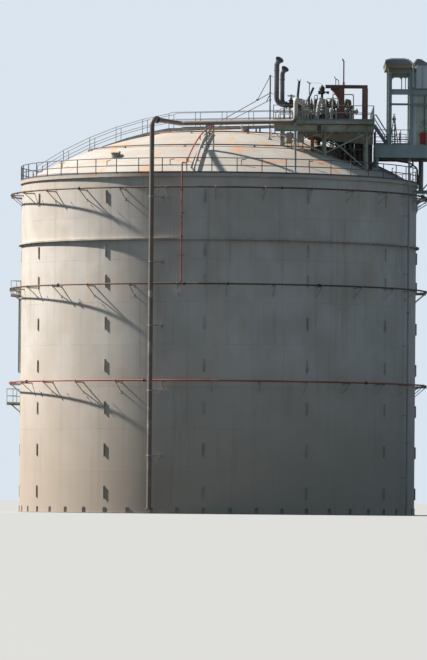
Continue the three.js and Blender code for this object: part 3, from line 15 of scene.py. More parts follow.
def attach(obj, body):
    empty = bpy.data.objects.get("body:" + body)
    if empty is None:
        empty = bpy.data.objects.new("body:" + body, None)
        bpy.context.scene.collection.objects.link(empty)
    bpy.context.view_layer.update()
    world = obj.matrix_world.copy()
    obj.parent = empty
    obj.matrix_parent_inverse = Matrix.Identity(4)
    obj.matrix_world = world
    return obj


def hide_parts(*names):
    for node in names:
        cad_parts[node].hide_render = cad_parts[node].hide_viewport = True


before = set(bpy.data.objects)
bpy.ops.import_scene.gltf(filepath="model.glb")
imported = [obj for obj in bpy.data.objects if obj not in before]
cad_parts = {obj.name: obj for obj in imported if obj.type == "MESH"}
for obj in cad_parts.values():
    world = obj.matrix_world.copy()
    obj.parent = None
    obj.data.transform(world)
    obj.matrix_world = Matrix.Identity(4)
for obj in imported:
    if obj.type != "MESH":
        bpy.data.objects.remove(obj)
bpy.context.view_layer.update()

print("nodes in the frame:", len(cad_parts))

# %% [markdown]
# ## The camera
# The photograph was taken from far away with a long lens: upright edges barely converge and the ground
# is seen almost edge on. A camera 441 m off and 1 m over the ground, with a 330 mm lens and half a degree
# of roll, gives the same view. It comes first, because all the framing depends on it.

# %% Camera at the photograph's angle
EYE, AIM = Vector((0.0, -441.2, 1.0)), Vector((-0.343, 0.0, 13.41))
LENS, ROLL = 329.6, 0.49


def stand(name, data, facing):
    """Puts a camera or lamp in the scene, looking one way."""
    thing = bpy.data.objects.new(name, data)
    thing.rotation_mode = "QUATERNION"
    thing.rotation_quaternion = facing
    bpy.context.scene.collection.objects.link(thing)
    return thing


lens = bpy.data.cameras.new("camera")
lens.lens, lens.sensor_width = LENS, 36.0
lens.clip_start, lens.clip_end = 10.0, 5000.0
tilt = Matrix.Rotation(math.radians(ROLL), 4, "Z").to_quaternion()
camera = stand("camera", lens, (AIM - EYE).to_track_quat("-Z", "Y") @ tilt)
camera.location = EYE
bpy.context.scene.camera = camera
print("camera is", round(-EYE.y), "m from the tank's axis")

# %% [markdown]
# ## Simple shapes as lists of points and faces
# A plant is mostly bars, pipes, plates and turned shells. Each small function below returns a list of
# points and a list of faces, so hundreds of them can be gathered in one mesh before it is made. That is
# far quicker than making hundreds of objects and joining them.

# %% Places on the tank
TANK_RADIUS = 14.4
WALL_IN = 14.38
RIM = 24.0
DOME_RADIUS = 27.9
DOME_CENTRE = RIM - math.sqrt(DOME_RADIUS**2 - TANK_RADIUS**2)
UP = Vector((0, 0, 1))


def polar(radius, angle, z):
    """A point at an angle from the front, in degrees, positive to the right."""
    turn = math.radians(angle)
    return Vector((radius * math.sin(turn), -radius * math.cos(turn), z))


def dome_height(radius):
    return DOME_CENTRE + math.sqrt(DOME_RADIUS**2 - radius**2)


def dome_at(x, y):
    return dome_height(math.hypot(x, y))


print("the dome rises", round(dome_height(0) - RIM, 2), "m over the rim")

# %% Boxes, beams and round bars
def box(x0, x1, y0, y1, z0, z1):
    points = [Vector((x, y, z)) for z in (z0, z1) for y in (y0, y1) for x in (x0, x1)]
    return points, [(0, 2, 3, 1), (4, 5, 7, 6), (0, 1, 5, 4), (2, 6, 7, 3), (0, 4, 6, 2), (1, 3, 7, 5)]


def block(x, y, half_x, half_y, z0, z1):
    """A box round an upright line."""
    return box(x - half_x, x + half_x, y - half_y, y + half_y, z0, z1)


def sweep(outline, start, end, up=UP):
    """A flat outline of (side, up) pairs, carried from start to end."""
    start, end = Vector(start), Vector(end)
    along = (end - start).normalized()
    side = along.cross(up)
    side = (along.orthogonal() if side.length < 1e-4 else side).normalized()
    lift = side.cross(along)
    count = len(outline)
    points = [base + side * a + lift * b for base in (start, end) for a, b in outline]
    faces = [tuple(range(count)), tuple(range(2 * count - 1, count - 1, -1))]
    faces += [(i, i + count, (i + 1) % count + count, (i + 1) % count) for i in range(count)]
    return points, faces


def beam(start, end, width, depth=None, up=UP):
    w, d = width / 2, (depth or width) / 2
    return sweep([(-w, -d), (w, -d), (w, d), (-w, d)], start, end, up)


def circle(radius, sides, middle=(0, 0)):
    turns = [math.tau * i / sides for i in range(sides)]
    return [(middle[0] + radius * math.cos(t), middle[1] + radius * math.sin(t)) for t in turns]


def bar(start, end, radius, sides=8):
    return sweep(circle(radius, sides), start, end)


def post(x, y, z0, z1, radius, sides=8):
    """An upright round bar."""
    return bar((x, y, z0), (x, y, z1), radius, sides)


def h_beam(start, end, width, depth, plate=0.02, up=UP):
    """A rolled steel section with two flanges and a web."""
    w, d, t = width / 2, depth / 2, plate
    half = [(w, t - d), (t / 2, t - d), (t / 2, d - t), (w, d - t), (w, d)]
    outline = [(-w, -d), (w, -d), *half, *[(-x, y) for x, y in reversed(half)]]
    return sweep(outline, start, end, up)


def chain(corners, make_one):
    """One shape for each stretch between two corners."""
    return [make_one(here, there) for here, there in zip(corners, corners[1:])]


print("a steel section has", len(h_beam((0, 0, 0), (0, 0, 3), 0.2, 0.2)[1]), "faces")

# %% Turned rings, plates and bent tubes
def turned(profile, segments=180, closed=True):
    """A profile of (radius, z) pairs, turned round the tank's axis."""
    count = len(profile)
    points = [polar(r, 360 * i / segments, z) for i in range(segments) for r, z in profile]
    faces = []
    for i in range(segments):
        a, b = i * count, (i + 1) % segments * count
        for j in range(count if closed else count - 1):
            k = (j + 1) % count
            faces.append((a + j, b + j, b + k, a + k))
    return points, faces


def slab(outline, z0, z1):
    count = len(outline)
    points = [Vector((x, y, z)) for z in (z0, z1) for x, y in outline]
    faces = [tuple(range(count - 1, -1, -1)), tuple(range(count, 2 * count))]
    faces += [(i, (i + 1) % count, (i + 1) % count + count, i + count) for i in range(count)]
    return points, faces


def upright_plate(outline, thickness, y=0.0):
    """A plate in the plane of x and z, drawn as (x, z) pairs, half its thickness each side of y."""
    points, faces = slab(outline, -thickness / 2, thickness / 2)
    return [Vector((p.x, y - p.z, p.y)) for p in points], faces


def pipe_route(corners, bend, steps=8):
    """Rounds each inner corner of a route with an arc."""
    corners = [Vector(corner) for corner in corners]
    points = [corners[0]]
    for before, corner, after in zip(corners, corners[1:], corners[2:]):
        back, ahead = (before - corner).normalized(), (after - corner).normalized()
        half = back.angle(ahead) / 2
        centre = corner + (back + ahead).normalized() * (bend / math.sin(half))
        first = corner + back * (bend / math.tan(half)) - centre
        last = corner + ahead * (bend / math.tan(half)) - centre
        axis, whole = first.cross(last).normalized(), math.pi - 2 * half
        points += [centre + Matrix.Rotation(whole * i / steps, 3, axis) @ first for i in range(steps + 1)]
    return points + [corners[-1]]


def skin(rows, sides, joined=False):
    """Faces round rows of points; the first and last row are capped, unless they join."""
    total = rows * sides
    faces = []
    for i in range(rows if joined else rows - 1):
        for k in range(sides):
            a, b = i * sides + k, i * sides + (k + 1) % sides
            faces.append((a, b, (b + sides) % total, (a + sides) % total))
    return faces if joined else faces + [tuple(range(sides - 1, -1, -1)), tuple(range(total - sides, total))]


def tube(route, radius, sides=12):
    """A round tube along a route, with flat closed ends."""
    points = []
    route = [Vector(place) for place in route]
    side = (route[1] - route[0]).orthogonal().normalized()
    for i, here in enumerate(route):
        before, after = route[max(i - 1, 0)], route[min(i + 1, len(route) - 1)]
        along = (after - before).normalized()
        side = (side - along * side.dot(along)).normalized()
        lift = along.cross(side)
        points += [here + side * a + lift * b for a, b in circle(radius, sides)]
    return points, skin(len(route), sides)


def line(corners, radius, bend=0.15, sides=12, steps=5):
    """A pipe with rounded corners."""
    return tube(pipe_route(corners, bend, steps), radius, sides)


def arc(radius, z, first, last, step=3.0):
    count = max(2, round(abs(last - first) / step) + 1)
    return [polar(radius, first + (last - first) * i / (count - 1), z) for i in range(count)]


def at_angle(shape, angle):
    """Turns a shape drawn with x outwards so that it stands at an angle on the tank."""
    turn = Matrix.Rotation(math.radians(angle - 90), 3, "Z")
    return [turn @ p for p in shape[0]], shape[1]


def all_at_angle(shapes, angle):
    return [at_angle(shape, angle) for shape in shapes]


print("a bend of a pipe gets", len(pipe_route([(0, 0, 0), (0, 0, 1), (1, 0, 1)], 0.2)), "points")

# %% [markdown]
# ## From shapes to pieces
# One call turns a list of shapes into a mesh object, welds it, turns every face outwards, keeps sharp
# edges sharp, gives it its finish and lets it ride on the tank. Pieces stay at the origin with their
# place in their mesh, so that patterns on Object coordinates stay put.

# %% Make one piece of many shapes
WELD = 1e-5
TALLY = {"pieces": 0, "faces": 0}


def mesh_of(name, shapes):
    points, faces = [], []
    for shape_points, shape_faces in shapes:
        faces += [tuple(len(points) + i for i in face) for face in shape_faces]
        points += shape_points
    mesh = bpy.data.meshes.new(name)
    mesh.from_pydata(points, [], faces)
    work = bmesh.new()
    work.from_mesh(mesh)
    bmesh.ops.remove_doubles(work, verts=work.verts, dist=WELD)
    bmesh.ops.recalc_face_normals(work, faces=work.faces)
    work.to_mesh(mesh)
    work.free()
    return mesh


def settle(name, mesh, finish, *replaced, smooth=35):
    """Links a finished mesh as a piece of the tank."""
    material, slot = finish
    piece = bpy.data.objects.new(name, mesh)
    bpy.context.scene.collection.objects.link(piece)
    mesh.materials.clear()
    mesh.materials.append(material)
    mesh.shade_smooth()
    mesh.set_sharp_from_angle(angle=math.radians(smooth))
    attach(piece, "root")
    if replaced:
        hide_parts(*replaced)
    TALLY["pieces"] += 1
    TALLY["faces"] += len(mesh.polygons)
    return piece


def make(name, shapes, finish, *replaced, smooth=35):
    return settle(name, mesh_of(name, shapes), finish, *replaced, smooth=smooth)


print("ready to make pieces")

# %% [markdown]
# ## Weathered paint, made once
# Almost everything here is steel under old paint. The same four things happen to all of it: the paint
# fades in soft clouds, rain draws dirt down in streaks, rust comes through in patches, and the surface
# gets grainy. One node group makes these from a few numbers, and each material sets its own values.

# %% A small helper for all node trees
class Graph:
    """A node tree that adds a node, sets its options and feeds its inputs in one call."""

    def __init__(self, tree, *sockets):
        """sockets: (direction, label, kind, default) for each input or output of a group."""
        self.tree = tree
        for direction, label, kind, default in sockets:
            socket = tree.interface.new_socket(label, in_out=direction, socket_type="NodeSocket" + kind)
            if default is not None:
                self.feed(socket, default)
        if sockets:
            self.given = tree.nodes.new("NodeGroupInput").outputs
            self.result = tree.nodes.new("NodeGroupOutput").inputs

    def feed(self, socket, value):
        if isinstance(value, bpy.types.NodeSocket):
            self.tree.links.new(value, socket)
        else:
            colour = isinstance(value, tuple) and len(socket.default_value) == 4
            socket.default_value = (*value, 1.0) if colour else value

    def add(self, kind, out=0, values=(), **options):
        node = self.tree.nodes.new(kind)
        for name, value in options.items():
            setattr(node, name, value)
        for name, value in dict(values).items():
            self.feed(node.inputs[name], value)
        return node.outputs[out]

    def math(self, operation, *values):
        return self.add("ShaderNodeMath", values=enumerate(values), operation=operation)

    def times(self, a, b):
        return self.math("MULTIPLY", a, b)

    def plus(self, a, b):
        return self.math("ADD", a, b)

    def less(self, a, b):
        return self.math("SUBTRACT", a, b)

    def mix(self, share, under, over, kind="MIX"):
        values = {0: share, 6: under, 7: over}
        return self.add("ShaderNodeMix", 2, values, data_type="RGBA", blend_type=kind)

    def ramp(self, value, low, high):
        """0 below low, 1 above high, smooth between."""
        values = {"Value": value, "From Min": low, "From Max": high}
        return self.add("ShaderNodeMapRange", "Result", values, interpolation_type="SMOOTHSTEP")

    def noise(self, place, scale, detail=4.0, roughness=0.55):
        values = {"Vector": place, "Scale": scale, "Detail": detail, "Roughness": roughness}
        return self.add("ShaderNodeTexNoise", "Fac", values)

    def stretched(self, place, x, y, z):
        return self.add("ShaderNodeMapping", "Vector", {"Vector": place, "Scale": (x, y, z)})

    def part(self, place, axis):
        return self.add("ShaderNodeSeparateXYZ", axis, {0: place})


print("node helper ready")

# %% The weathering group
PAINTS = {"Paint": (0.6, 0.6, 0.55), "Faded": (0.7, 0.7, 0.65), "Dirt": (0.2, 0.18, 0.14),
          "Rust": (0.25, 0.09, 0.04)}
AMOUNTS = {"Dirt Amount": 0.4, "Rust Amount": 0.2, "Patch Scale": 0.6}
YOUNG_RUST = (0.42, 0.17, 0.06)


def weathering_group():
    tree = bpy.data.node_groups.new("weathering", "ShaderNodeTree")
    g = Graph(tree, ("INPUT", "Place", "Vector", None),
              *[("INPUT", label, "Color", colour) for label, colour in PAINTS.items()],
              *[("INPUT", label, "Float", amount) for label, amount in AMOUNTS.items()],
              ("OUTPUT", "Colour", "Color", None), ("OUTPUT", "Roughness", "Float", None),
              ("OUTPUT", "Height", "Float", None), ("OUTPUT", "Rust Mask", "Float", None))
    given, place = g.given, g.given["Place"]
    clouds = g.ramp(g.noise(place, 0.35, 3.0), 0.35, 0.7)
    colour = g.mix(clouds, given["Paint"], given["Faded"])
    rain = g.noise(g.stretched(place, 2.6, 2.6, 0.09), 1.0, 5.0, 0.6)
    soot = g.noise(g.stretched(place, 7.0, 7.0, 0.35), 1.0, 3.0)
    streaks = g.times(g.ramp(rain, 0.5, 0.78), g.ramp(soot, 0.3, 0.65))
    colour = g.mix(g.times(streaks, given["Dirt Amount"]), colour, given["Dirt"])
    patches = g.noise(place, given["Patch Scale"], 8.0, 0.68)
    edge = g.less(0.78, g.times(given["Rust Amount"], 0.4))
    rust = g.ramp(patches, edge, g.plus(edge, 0.1))
    tone = g.mix(g.noise(place, 22.0, 4.0), given["Rust"], YOUNG_RUST)
    colour = g.mix(rust, colour, tone)
    grain = g.noise(place, 30.0, 5.0, 0.7)
    colour = g.mix(g.times(g.ramp(grain, 0.62, 0.8), 0.25), colour, given["Dirt"])
    rough = g.plus(g.plus(0.5, g.times(rust, 0.35)), g.times(grain, 0.12))
    height = g.plus(g.times(grain, 0.4), g.times(rust, 0.6))
    for name, value in (("Colour", colour), ("Roughness", rough), ("Height", height), ("Rust Mask", rust)):
        g.feed(g.result[name], value)
    return tree


WEATHER = weathering_group()
print("weathering group has", len(WEATHER.nodes), "nodes")

# %% [markdown]
# ## The finishes
# Each finish is one Principled material that places the weathering group with its own colours. The two
# largest surfaces, the wall and the dome, add their plate seams, because those lines are what gives a
# plain tank its scale. Constant values such as Metallic are set on the shader itself.

# %% A painted finish
FINISHES = {}


def painted(name, slot, paint, faded, rust_amount=0.2, dirt=(0.16, 0.14, 0.11), rust=(0.2, 0.07, 0.03),
            dirt_amount=0.4, patch=0.9, metallic=0.0, bump=0.15, extra=None):
    material = bpy.data.materials.new(name)
    material.use_nodes = True
    g = Graph(material.node_tree)
    shader = g.tree.nodes["Principled BSDF"].inputs
    shader["Metallic"].default_value = metallic
    place = g.add("ShaderNodeTexCoord", "Object")
    values = dict(zip(["Place", *PAINTS, *AMOUNTS],
                      (place, paint, faded, dirt, rust, dirt_amount, rust_amount, patch)))
    worn = g.add("ShaderNodeGroup", "Colour", values, node_tree=WEATHER).node.outputs
    colour, height = worn["Colour"], worn["Height"]
    if extra:
        colour, height = extra(g, place, colour, height)
    relief = g.add("ShaderNodeBump", "Normal", {"Strength": bump, "Distance": 0.02, "Height": height})
    g.feed(shader["Base Color"], colour)
    g.feed(shader["Roughness"], worn["Roughness"])
    g.feed(shader["Normal"], relief)
    FINISHES[name] = (material, slot)
    return FINISHES[name]


GALVANISED = painted("galvanised_steel", "galvanised", (0.2, 0.215, 0.23), (0.29, 0.3, 0.31), 0.36,
                     dirt_amount=0.5, patch=1.4, metallic=0.35)
RING_BROWN = painted("ring_paint", "ring_paint", (0.1, 0.055, 0.04), (0.16, 0.09, 0.065), 0.6)
RING_RED = painted("ring_paint_red", "red_paint", (0.34, 0.07, 0.045), (0.42, 0.13, 0.09), 0.35)
BRACKET_CREAM = painted("bracket_paint", "ring_paint", (0.5, 0.45, 0.4), (0.6, 0.555, 0.5), 0.36)
PIPE_GREY = painted("pipe_paint", "pipe_grey", (0.33, 0.33, 0.31), (0.45, 0.45, 0.42), 0.3)
DECK_BLUE = painted("deck_paint", "deck_blue", (0.37, 0.44, 0.43), (0.48, 0.56, 0.54), 0.25)
CRANE_BROWN = painted("crane_paint", "crane_brown", (0.2, 0.085, 0.06), (0.28, 0.15, 0.11), 0.5)
BOX_RED = painted("cabinet_red", "box_red", (0.42, 0.02, 0.03), (0.5, 0.06, 0.06), 0.1)
VALVE_DARK = painted("valve_iron", "pipe_grey", (0.045, 0.045, 0.045), (0.09, 0.09, 0.085), 0.5)
BASE_GREY = painted("bottom_plate_paint", "bottom_grey", (0.25, 0.24, 0.22), (0.33, 0.32, 0.29), 0.5)
print("plain finishes:", ", ".join(FINISHES))

# %% [markdown]
# ## Seams of the wall plates
# The wall is eight courses of plate, 3 m high, each plate about 6.5 m long and each course set over by
# half a plate. The wall has a UV map in metres, round and up, so a Brick texture draws the welds. A slow
# noise along the seams breaks them up: some show as a dark line, some hardly at all.

# %% Wall finish with courses and uprights
COURSE = 3.0
PLATE_LENGTH = math.tau * TANK_RADIUS / 14


def wall_seams(g, place, colour, height):
    values = {"Vector": g.add("ShaderNodeUVMap", "UV"), "Scale": 1.0, "Mortar Size": 0.022,
              "Mortar Smooth": 0.6,
              "Brick Width": PLATE_LENGTH, "Row Height": COURSE, "Color1": (0.93, 0.93, 0.93),
              "Color2": (1.0, 1.0, 1.0), "Mortar": (0.97, 0.97, 0.97)}
    bricks = g.add("ShaderNodeTexBrick", 0, values, offset=0.5).node.outputs
    seam = bricks["Fac"]
    broken = g.ramp(g.noise(place, 0.8, 5.0), 0.32, 0.72)
    colour = g.mix(1.0, colour, bricks["Color"], "MULTIPLY")
    colour = g.mix(g.times(g.times(seam, broken), 0.5), colour, (0.2, 0.15, 0.1))
    drips = g.noise(g.stretched(place, 1.7, 1.7, 0.045), 1.0, 4.0, 0.62)
    colour = g.mix(g.times(g.ramp(drips, 0.54, 0.74), 0.35), colour, (0.62, 0.4, 0.22))
    low_down = g.less(1.0, g.ramp(g.part(place, "Z"), 0.5, 15.0))
    uneven = g.plus(0.3, g.times(g.noise(place, 0.35, 4.0), 0.5))
    colour = g.mix(g.times(low_down, uneven), colour, (0.36, 0.26, 0.17))
    waves = g.noise(place, 0.22, 2.0)
    return colour, g.plus(height, g.plus(g.times(seam, 0.8), g.times(waves, 3.0)))


WALL = painted("wall_paint", "shell_paint", (0.56, 0.51, 0.44), (0.66, 0.615, 0.555), 0.1, (0.28, 0.23, 0.18),
               (0.36, 0.2, 0.1), dirt_amount=0.45, patch=0.8, bump=0.12, extra=wall_seams)
print("a wall plate is", round(PLATE_LENGTH, 2), "m long")

# %% [markdown]
# ## The dome's plates and rust
# The dome is laid in rings of plates. Their seams follow circles and spokes, so the pattern is worked
# out from the place itself: distance from the axis, and angle round it. Rust blooms first where water
# lies against the laps, which is why the orange patches gather along the seams.

# %% Dome finish
SPOKES = 24
LAP_RING = 1.9


def dome_laps(g, place, colour, height):
    x, y = g.part(place, "X"), g.part(place, "Y")
    radius = g.math("SQRT", g.plus(g.times(x, x), g.times(y, y)))

    def off_line(turns):
        return g.math("ABSOLUTE", g.less(g.math("FRACT", turns), 0.5))

    spoke = off_line(g.times(g.math("ARCTAN2", x, y), SPOKES / math.tau))
    spoke = g.times(spoke, g.times(radius, math.tau / SPOKES))
    near = g.math("MINIMUM", spoke, g.times(off_line(g.math("DIVIDE", radius, LAP_RING)), LAP_RING))
    lap = g.less(1.0, g.ramp(near, 0.0, 0.05))
    halo = g.less(1.0, g.ramp(near, 0.0, 0.75))
    bloom = g.times(g.ramp(g.noise(place, 0.55, 7.0, 0.66), 0.5, 0.64), halo)
    colour = g.mix(g.times(lap, 0.35), colour, (0.3, 0.2, 0.12))
    colour = g.mix(g.times(bloom, 0.8), colour, (0.68, 0.36, 0.17))
    core = g.times(g.ramp(g.noise(place, 1.3, 8.0, 0.7), 0.58, 0.68), bloom)
    return g.mix(core, colour, (0.3, 0.12, 0.05)), g.plus(height, g.times(lap, 0.8))


DOME = painted("dome_paint", "roof_paint", (0.49, 0.44, 0.38), (0.56, 0.52, 0.46), 0.2, (0.28, 0.22, 0.17),
               (0.45, 0.2, 0.09), dirt_amount=0.3, extra=dome_laps)
print("dome finish ready")

# %% [markdown]
# ## Moss, sheet ribs and stains
# The roof platform is green with moss where it stays damp, the cabin is clad in ribbed sheet, and the
# vapour line is stained where it runs low. All start from the same weathering and add one thing: moss
# in soft clouds, a faint tone that changes from strip to strip, or dirt that fades out with height.

# %% Platform, cladding and canopy finishes
def mossy(g, place, colour, height):
    cloud = g.ramp(g.noise(place, 0.9, 6.0, 0.65), 0.48, 0.62)
    fine = g.ramp(g.noise(place, 9.0, 4.0), 0.35, 0.6)
    moss = g.times(g.times(cloud, fine), 0.6)
    return g.mix(moss, colour, (0.14, 0.14, 0.03)), g.plus(height, moss)


def strips(g, place, colour, height):
    tone = g.noise(g.stretched(place, 1.6, 1.6, 0.02), 1.0, 1.0)
    return g.mix(g.ramp(tone, 0.3, 0.7), colour, (0.3, 0.34, 0.34), "SOFT_LIGHT"), height


def stained_below(g, place, colour, height):
    low = g.less(1.0, g.ramp(g.part(place, "Z"), 27.95, 28.6))
    low = g.times(low, g.ramp(g.noise(place, 1.1, 6.0, 0.65), 0.15, 0.5))
    return g.mix(low, colour, (0.2, 0.155, 0.13)), height


PLATFORM = painted("platform_paint", "platform_paint", (0.33, 0.35, 0.28), (0.46, 0.48, 0.4), 0.45,
                   dirt_amount=0.6, extra=mossy)
# The skirt's dark olive colour is partly weathered paint and partly painted shade for the space under the deck.
SKIRT_SHEET_AND_SHADE = painted("skirt_sheet_and_painted_shade", "platform_paint", (0.17, 0.16, 0.1), (0.25, 0.22, 0.15), 0.6,
                      rust=(0.13, 0.05, 0.03), dirt_amount=0.7, patch=1.6, extra=mossy)
RUSTY = painted("bare_rusty_steel", "pipe_grey", (0.3, 0.1, 0.035), (0.42, 0.17, 0.06), 0.7,
                rust=(0.12, 0.04, 0.02), patch=3.0, bump=0.3)
DARK_STEEL = painted("dark_steel", "platform_paint", (0.06, 0.055, 0.05), (0.11, 0.1, 0.09), 0.6,
                     rust=(0.13, 0.045, 0.025), patch=1.8)
STACK_GREY = painted("vent_stack_paint", "pipe_grey", (0.12, 0.115, 0.12), (0.19, 0.18, 0.18), 0.35)
MAST_DARK = painted("mast_steel", "galvanised", (0.07, 0.075, 0.085), (0.12, 0.125, 0.13), 0.35)
PIPE_LIGHT = painted("small_pipe_paint", "pipe_grey", (0.5, 0.5, 0.47), (0.62, 0.62, 0.58), 0.25)
BROWN_SHEET = painted("brown_sheet", "platform_paint", (0.28, 0.24, 0.17), (0.38, 0.33, 0.24), 0.35)
PANEL_GREEN = painted("cabin_panel_paint", "cladding", (0.52, 0.55, 0.46), (0.63, 0.66, 0.57), 0.2,
                      dirt_amount=0.5, extra=mossy)
# The pale pink of the canopy's edge and valley trims is a painted highlight along their lit top edges.
EDGE_PINK_HIGHLIGHT = painted("roof_edge_painted_highlight", "platform_paint", (0.72, 0.55, 0.58), (0.82, 0.7, 0.72), 0.1)
WALKWAY = painted("walkway_paint", "platform_paint", (0.22, 0.22, 0.2), (0.3, 0.3, 0.28), 0.45)
CLADDING = painted("cladding_sheet", "cladding", (0.68, 0.71, 0.72), (0.8, 0.82, 0.82), 0.12, extra=strips)
CANOPY = painted("canopy_sheet", "platform_paint", (0.26, 0.24, 0.26), (0.36, 0.34, 0.36), 0.3, extra=strips)
RAIL_DARK = painted("rim_rail_steel", "galvanised", (0.1, 0.105, 0.12), (0.16, 0.165, 0.18), 0.35)
CREAM_PIPE = painted("cream_pipe_paint", "pipe_grey", (0.62, 0.57, 0.48), (0.72, 0.68, 0.6), 0.3, patch=1.6,
                     extra=stained_below)
print("finishes made:", len(FINISHES))

# %% [markdown]
# ## Copies round the tank, with Geometry Nodes
# Wall brackets, handrail posts, lugs and stiffeners all repeat round one axis. A small Geometry Nodes
# tree takes one of them and turns copies of it round the axis: it puts a number of points at the axis and
# gives each its own turn. Its named inputs are the number of copies, the first turn and the step.

# %% Trees that turn copies round the axis, or set them in a row
def geometry_tree(name, inputs, build):
    tree = bpy.data.node_groups.new(name, "GeometryNodeTree")
    g = Graph(tree, ("INPUT", "Geometry", "Geometry", None), *[("INPUT", *row) for row in inputs],
              ("INPUT", "Material", "Material", None), ("OUTPUT", "Geometry", "Geometry", None))
    solid = g.add("GeometryNodeRealizeInstances", values={0: build(g, g.given)})
    dressed = g.add("GeometryNodeSetMaterial", values={"Geometry": solid, "Material": g.given["Material"]})
    g.feed(g.result[0], dressed)
    return tree


def copies(g, count, one, place=None, turn=None):
    points = g.add("GeometryNodePoints", values={"Count": count, **({"Position": place} if place else {})})
    values = {"Points": points, "Instance": one, **({"Rotation": turn} if turn else {})}
    return g.add("GeometryNodeInstanceOnPoints", values=values)


def round_axis(g, given):
    turn = g.plus(given["First Angle"], g.times(g.add("GeometryNodeInputIndex"), given["Step Angle"]))
    spin = g.add("ShaderNodeCombineXYZ", values={"Z": g.times(turn, math.pi / 180)})
    return copies(g, given["Count"], given["Geometry"], turn=spin)


def in_a_row(g, given):
    values = {0: given["Step"], "Scale": g.add("GeometryNodeInputIndex")}
    place = g.add("ShaderNodeVectorMath", values=values, operation="SCALE")
    return copies(g, given["Count"], given["Geometry"], place=place)


RING_TREE = geometry_tree("copies_round_axis", [("Count", "Int", 12), ("First Angle", "Float", 0.0),
                                                ("Step Angle", "Float", 30.0)], round_axis)
ROW_TREE = geometry_tree("copies_in_a_row", [("Count", "Int", 5), ("Step", "Vector", (1.0, 0.0, 0.0))],
                         in_a_row)
print("inputs:", [s.name for s in RING_TREE.interface.items_tree if s.in_out == "INPUT"])

# %% How a tree becomes a plain mesh
def grown(name, tree, mesh, finish, settings):
    """Runs a tree on a mesh once, and returns its result as a plain mesh."""
    host = bpy.data.objects.new(mesh.name, mesh)
    bpy.context.scene.collection.objects.link(host)
    modifier = host.modifiers.new(name, "NODES")
    modifier.node_group = tree
    sockets = {s.name: s.identifier for s in tree.interface.items_tree if s.in_out == "INPUT"}
    for label, value in {**settings, "Material": finish[0]}.items():
        modifier[sockets[label]] = value
    host.update_tag()
    bpy.context.view_layer.update()
    graph = bpy.context.evaluated_depsgraph_get()
    result = bpy.data.meshes.new_from_object(host.evaluated_get(graph))
    host.modifiers.clear()
    bpy.data.objects.remove(host)
    result.name = name
    return result


def copies_round(name, shapes, finish, count, first, step, **more):
    settings = {"Count": count, "First Angle": first - 90.0, "Step Angle": step}
    mesh = grown(name, RING_TREE, mesh_of(name + "_one", shapes), finish, settings)
    return settle(name, mesh, finish, **more)


def copies_in_row(name, shapes, finish, count, step, **more):
    settings = {"Count": count, "Step": tuple(step)}
    mesh = grown(name, ROW_TREE, mesh_of(name + "_one", shapes), finish, settings)
    return settle(name, mesh, finish, **more)


print("copies can be made round the axis or in a row")

# %% [markdown]
# ## Flanges on points
# Every joint of the pipework is a pair of round plates with a ring of bolts. A third tree makes them: it
# reads a handful of points, each with the way its pipe runs and its size, and puts a flange on each one.

# %% A tree that puts bolted flanges on points
def bolted(g, given):
    values = {"Vertices": 24, "Radius": 1.0, "Depth": given["Thickness"]}
    disc = g.add("GeometryNodeMeshCylinder", values=values)
    spots = g.add("GeometryNodeMeshCircle", values={"Radius": 0.8, "Vertices": given["Bolts"]})
    values = {"Vertices": 6, "Radius": 0.1, "Depth": g.plus(given["Thickness"], 0.25)}
    bolt = g.add("GeometryNodeMeshCylinder", values=values)
    bolts = g.add("GeometryNodeInstanceOnPoints", values={"Points": spots, "Instance": bolt})
    whole = g.add("GeometryNodeJoinGeometry", values={0: disc})
    g.feed(whole.node.inputs[0], bolts)
    way = g.add("GeometryNodeInputNamedAttribute", values={"Name": "way"}, data_type="FLOAT_VECTOR")
    size = g.add("GeometryNodeInputNamedAttribute", values={"Name": "size"}, data_type="FLOAT")
    turn = g.add("FunctionNodeAlignEulerToVector", values={"Vector": way}, axis="Z")
    values = {"Points": given["Geometry"], "Instance": whole, "Rotation": turn, "Scale": size}
    return g.add("GeometryNodeInstanceOnPoints", values=values)


FLANGE_TREE = geometry_tree("bolted_flanges", [("Bolts", "Int", 8), ("Thickness", "Float", 0.4)], bolted)


def flanges(name, places, finish, bolts=8, thickness=0.3, **more):
    """places: a list of (centre, way, radius)."""
    mesh = bpy.data.meshes.new(name + "_points")
    mesh.from_pydata([Vector(centre) for centre, _, _ in places], [], [])
    mesh.attributes.new("way", "FLOAT_VECTOR", "POINT")
    mesh.attributes.new("size", "FLOAT", "POINT")
    mesh.attributes["way"].data.foreach_set("vector",
                                            [v for _, way, _ in places for v in Vector(way).normalized()])
    mesh.attributes["size"].data.foreach_set("value", [radius for _, _, radius in places])
    mesh = grown(name, FLANGE_TREE, mesh, finish, {"Bolts": bolts, "Thickness": thickness})
    return settle(name, mesh, finish, **more)


print("flange tree ready")

# %% [markdown]
# ## The wall
# The real wall is one smooth round drum of welded plate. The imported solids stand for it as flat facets,
# so one turned ring with 288 steps replaces them, with the same radius and height. It also gets the UV
# map in metres that its seams are drawn on.

# %% Round wall, stiffening ring and its UV map
ROUND = 288
WALL_TOP = 23.88


def ring_of(inner, outer, low, high):
    return turned([(inner, low), (outer, low), (outer, high), (inner, high)], ROUND)


def wrap(mesh, radius):
    """UV in metres: the way round the axis, and the height."""
    layer = mesh.uv_layers.new(name="round_and_up")
    for face in mesh.polygons:
        centre = math.atan2(face.center.x, -face.center.y)
        for loop in face.loop_indices:
            place = mesh.vertices[mesh.loops[loop].vertex_index].co
            turn = math.atan2(place.x, -place.y)
            turn += math.tau * round((centre - turn) / math.tau)
            layer.data[loop].uv = ((turn + math.tau) * radius, place.z)


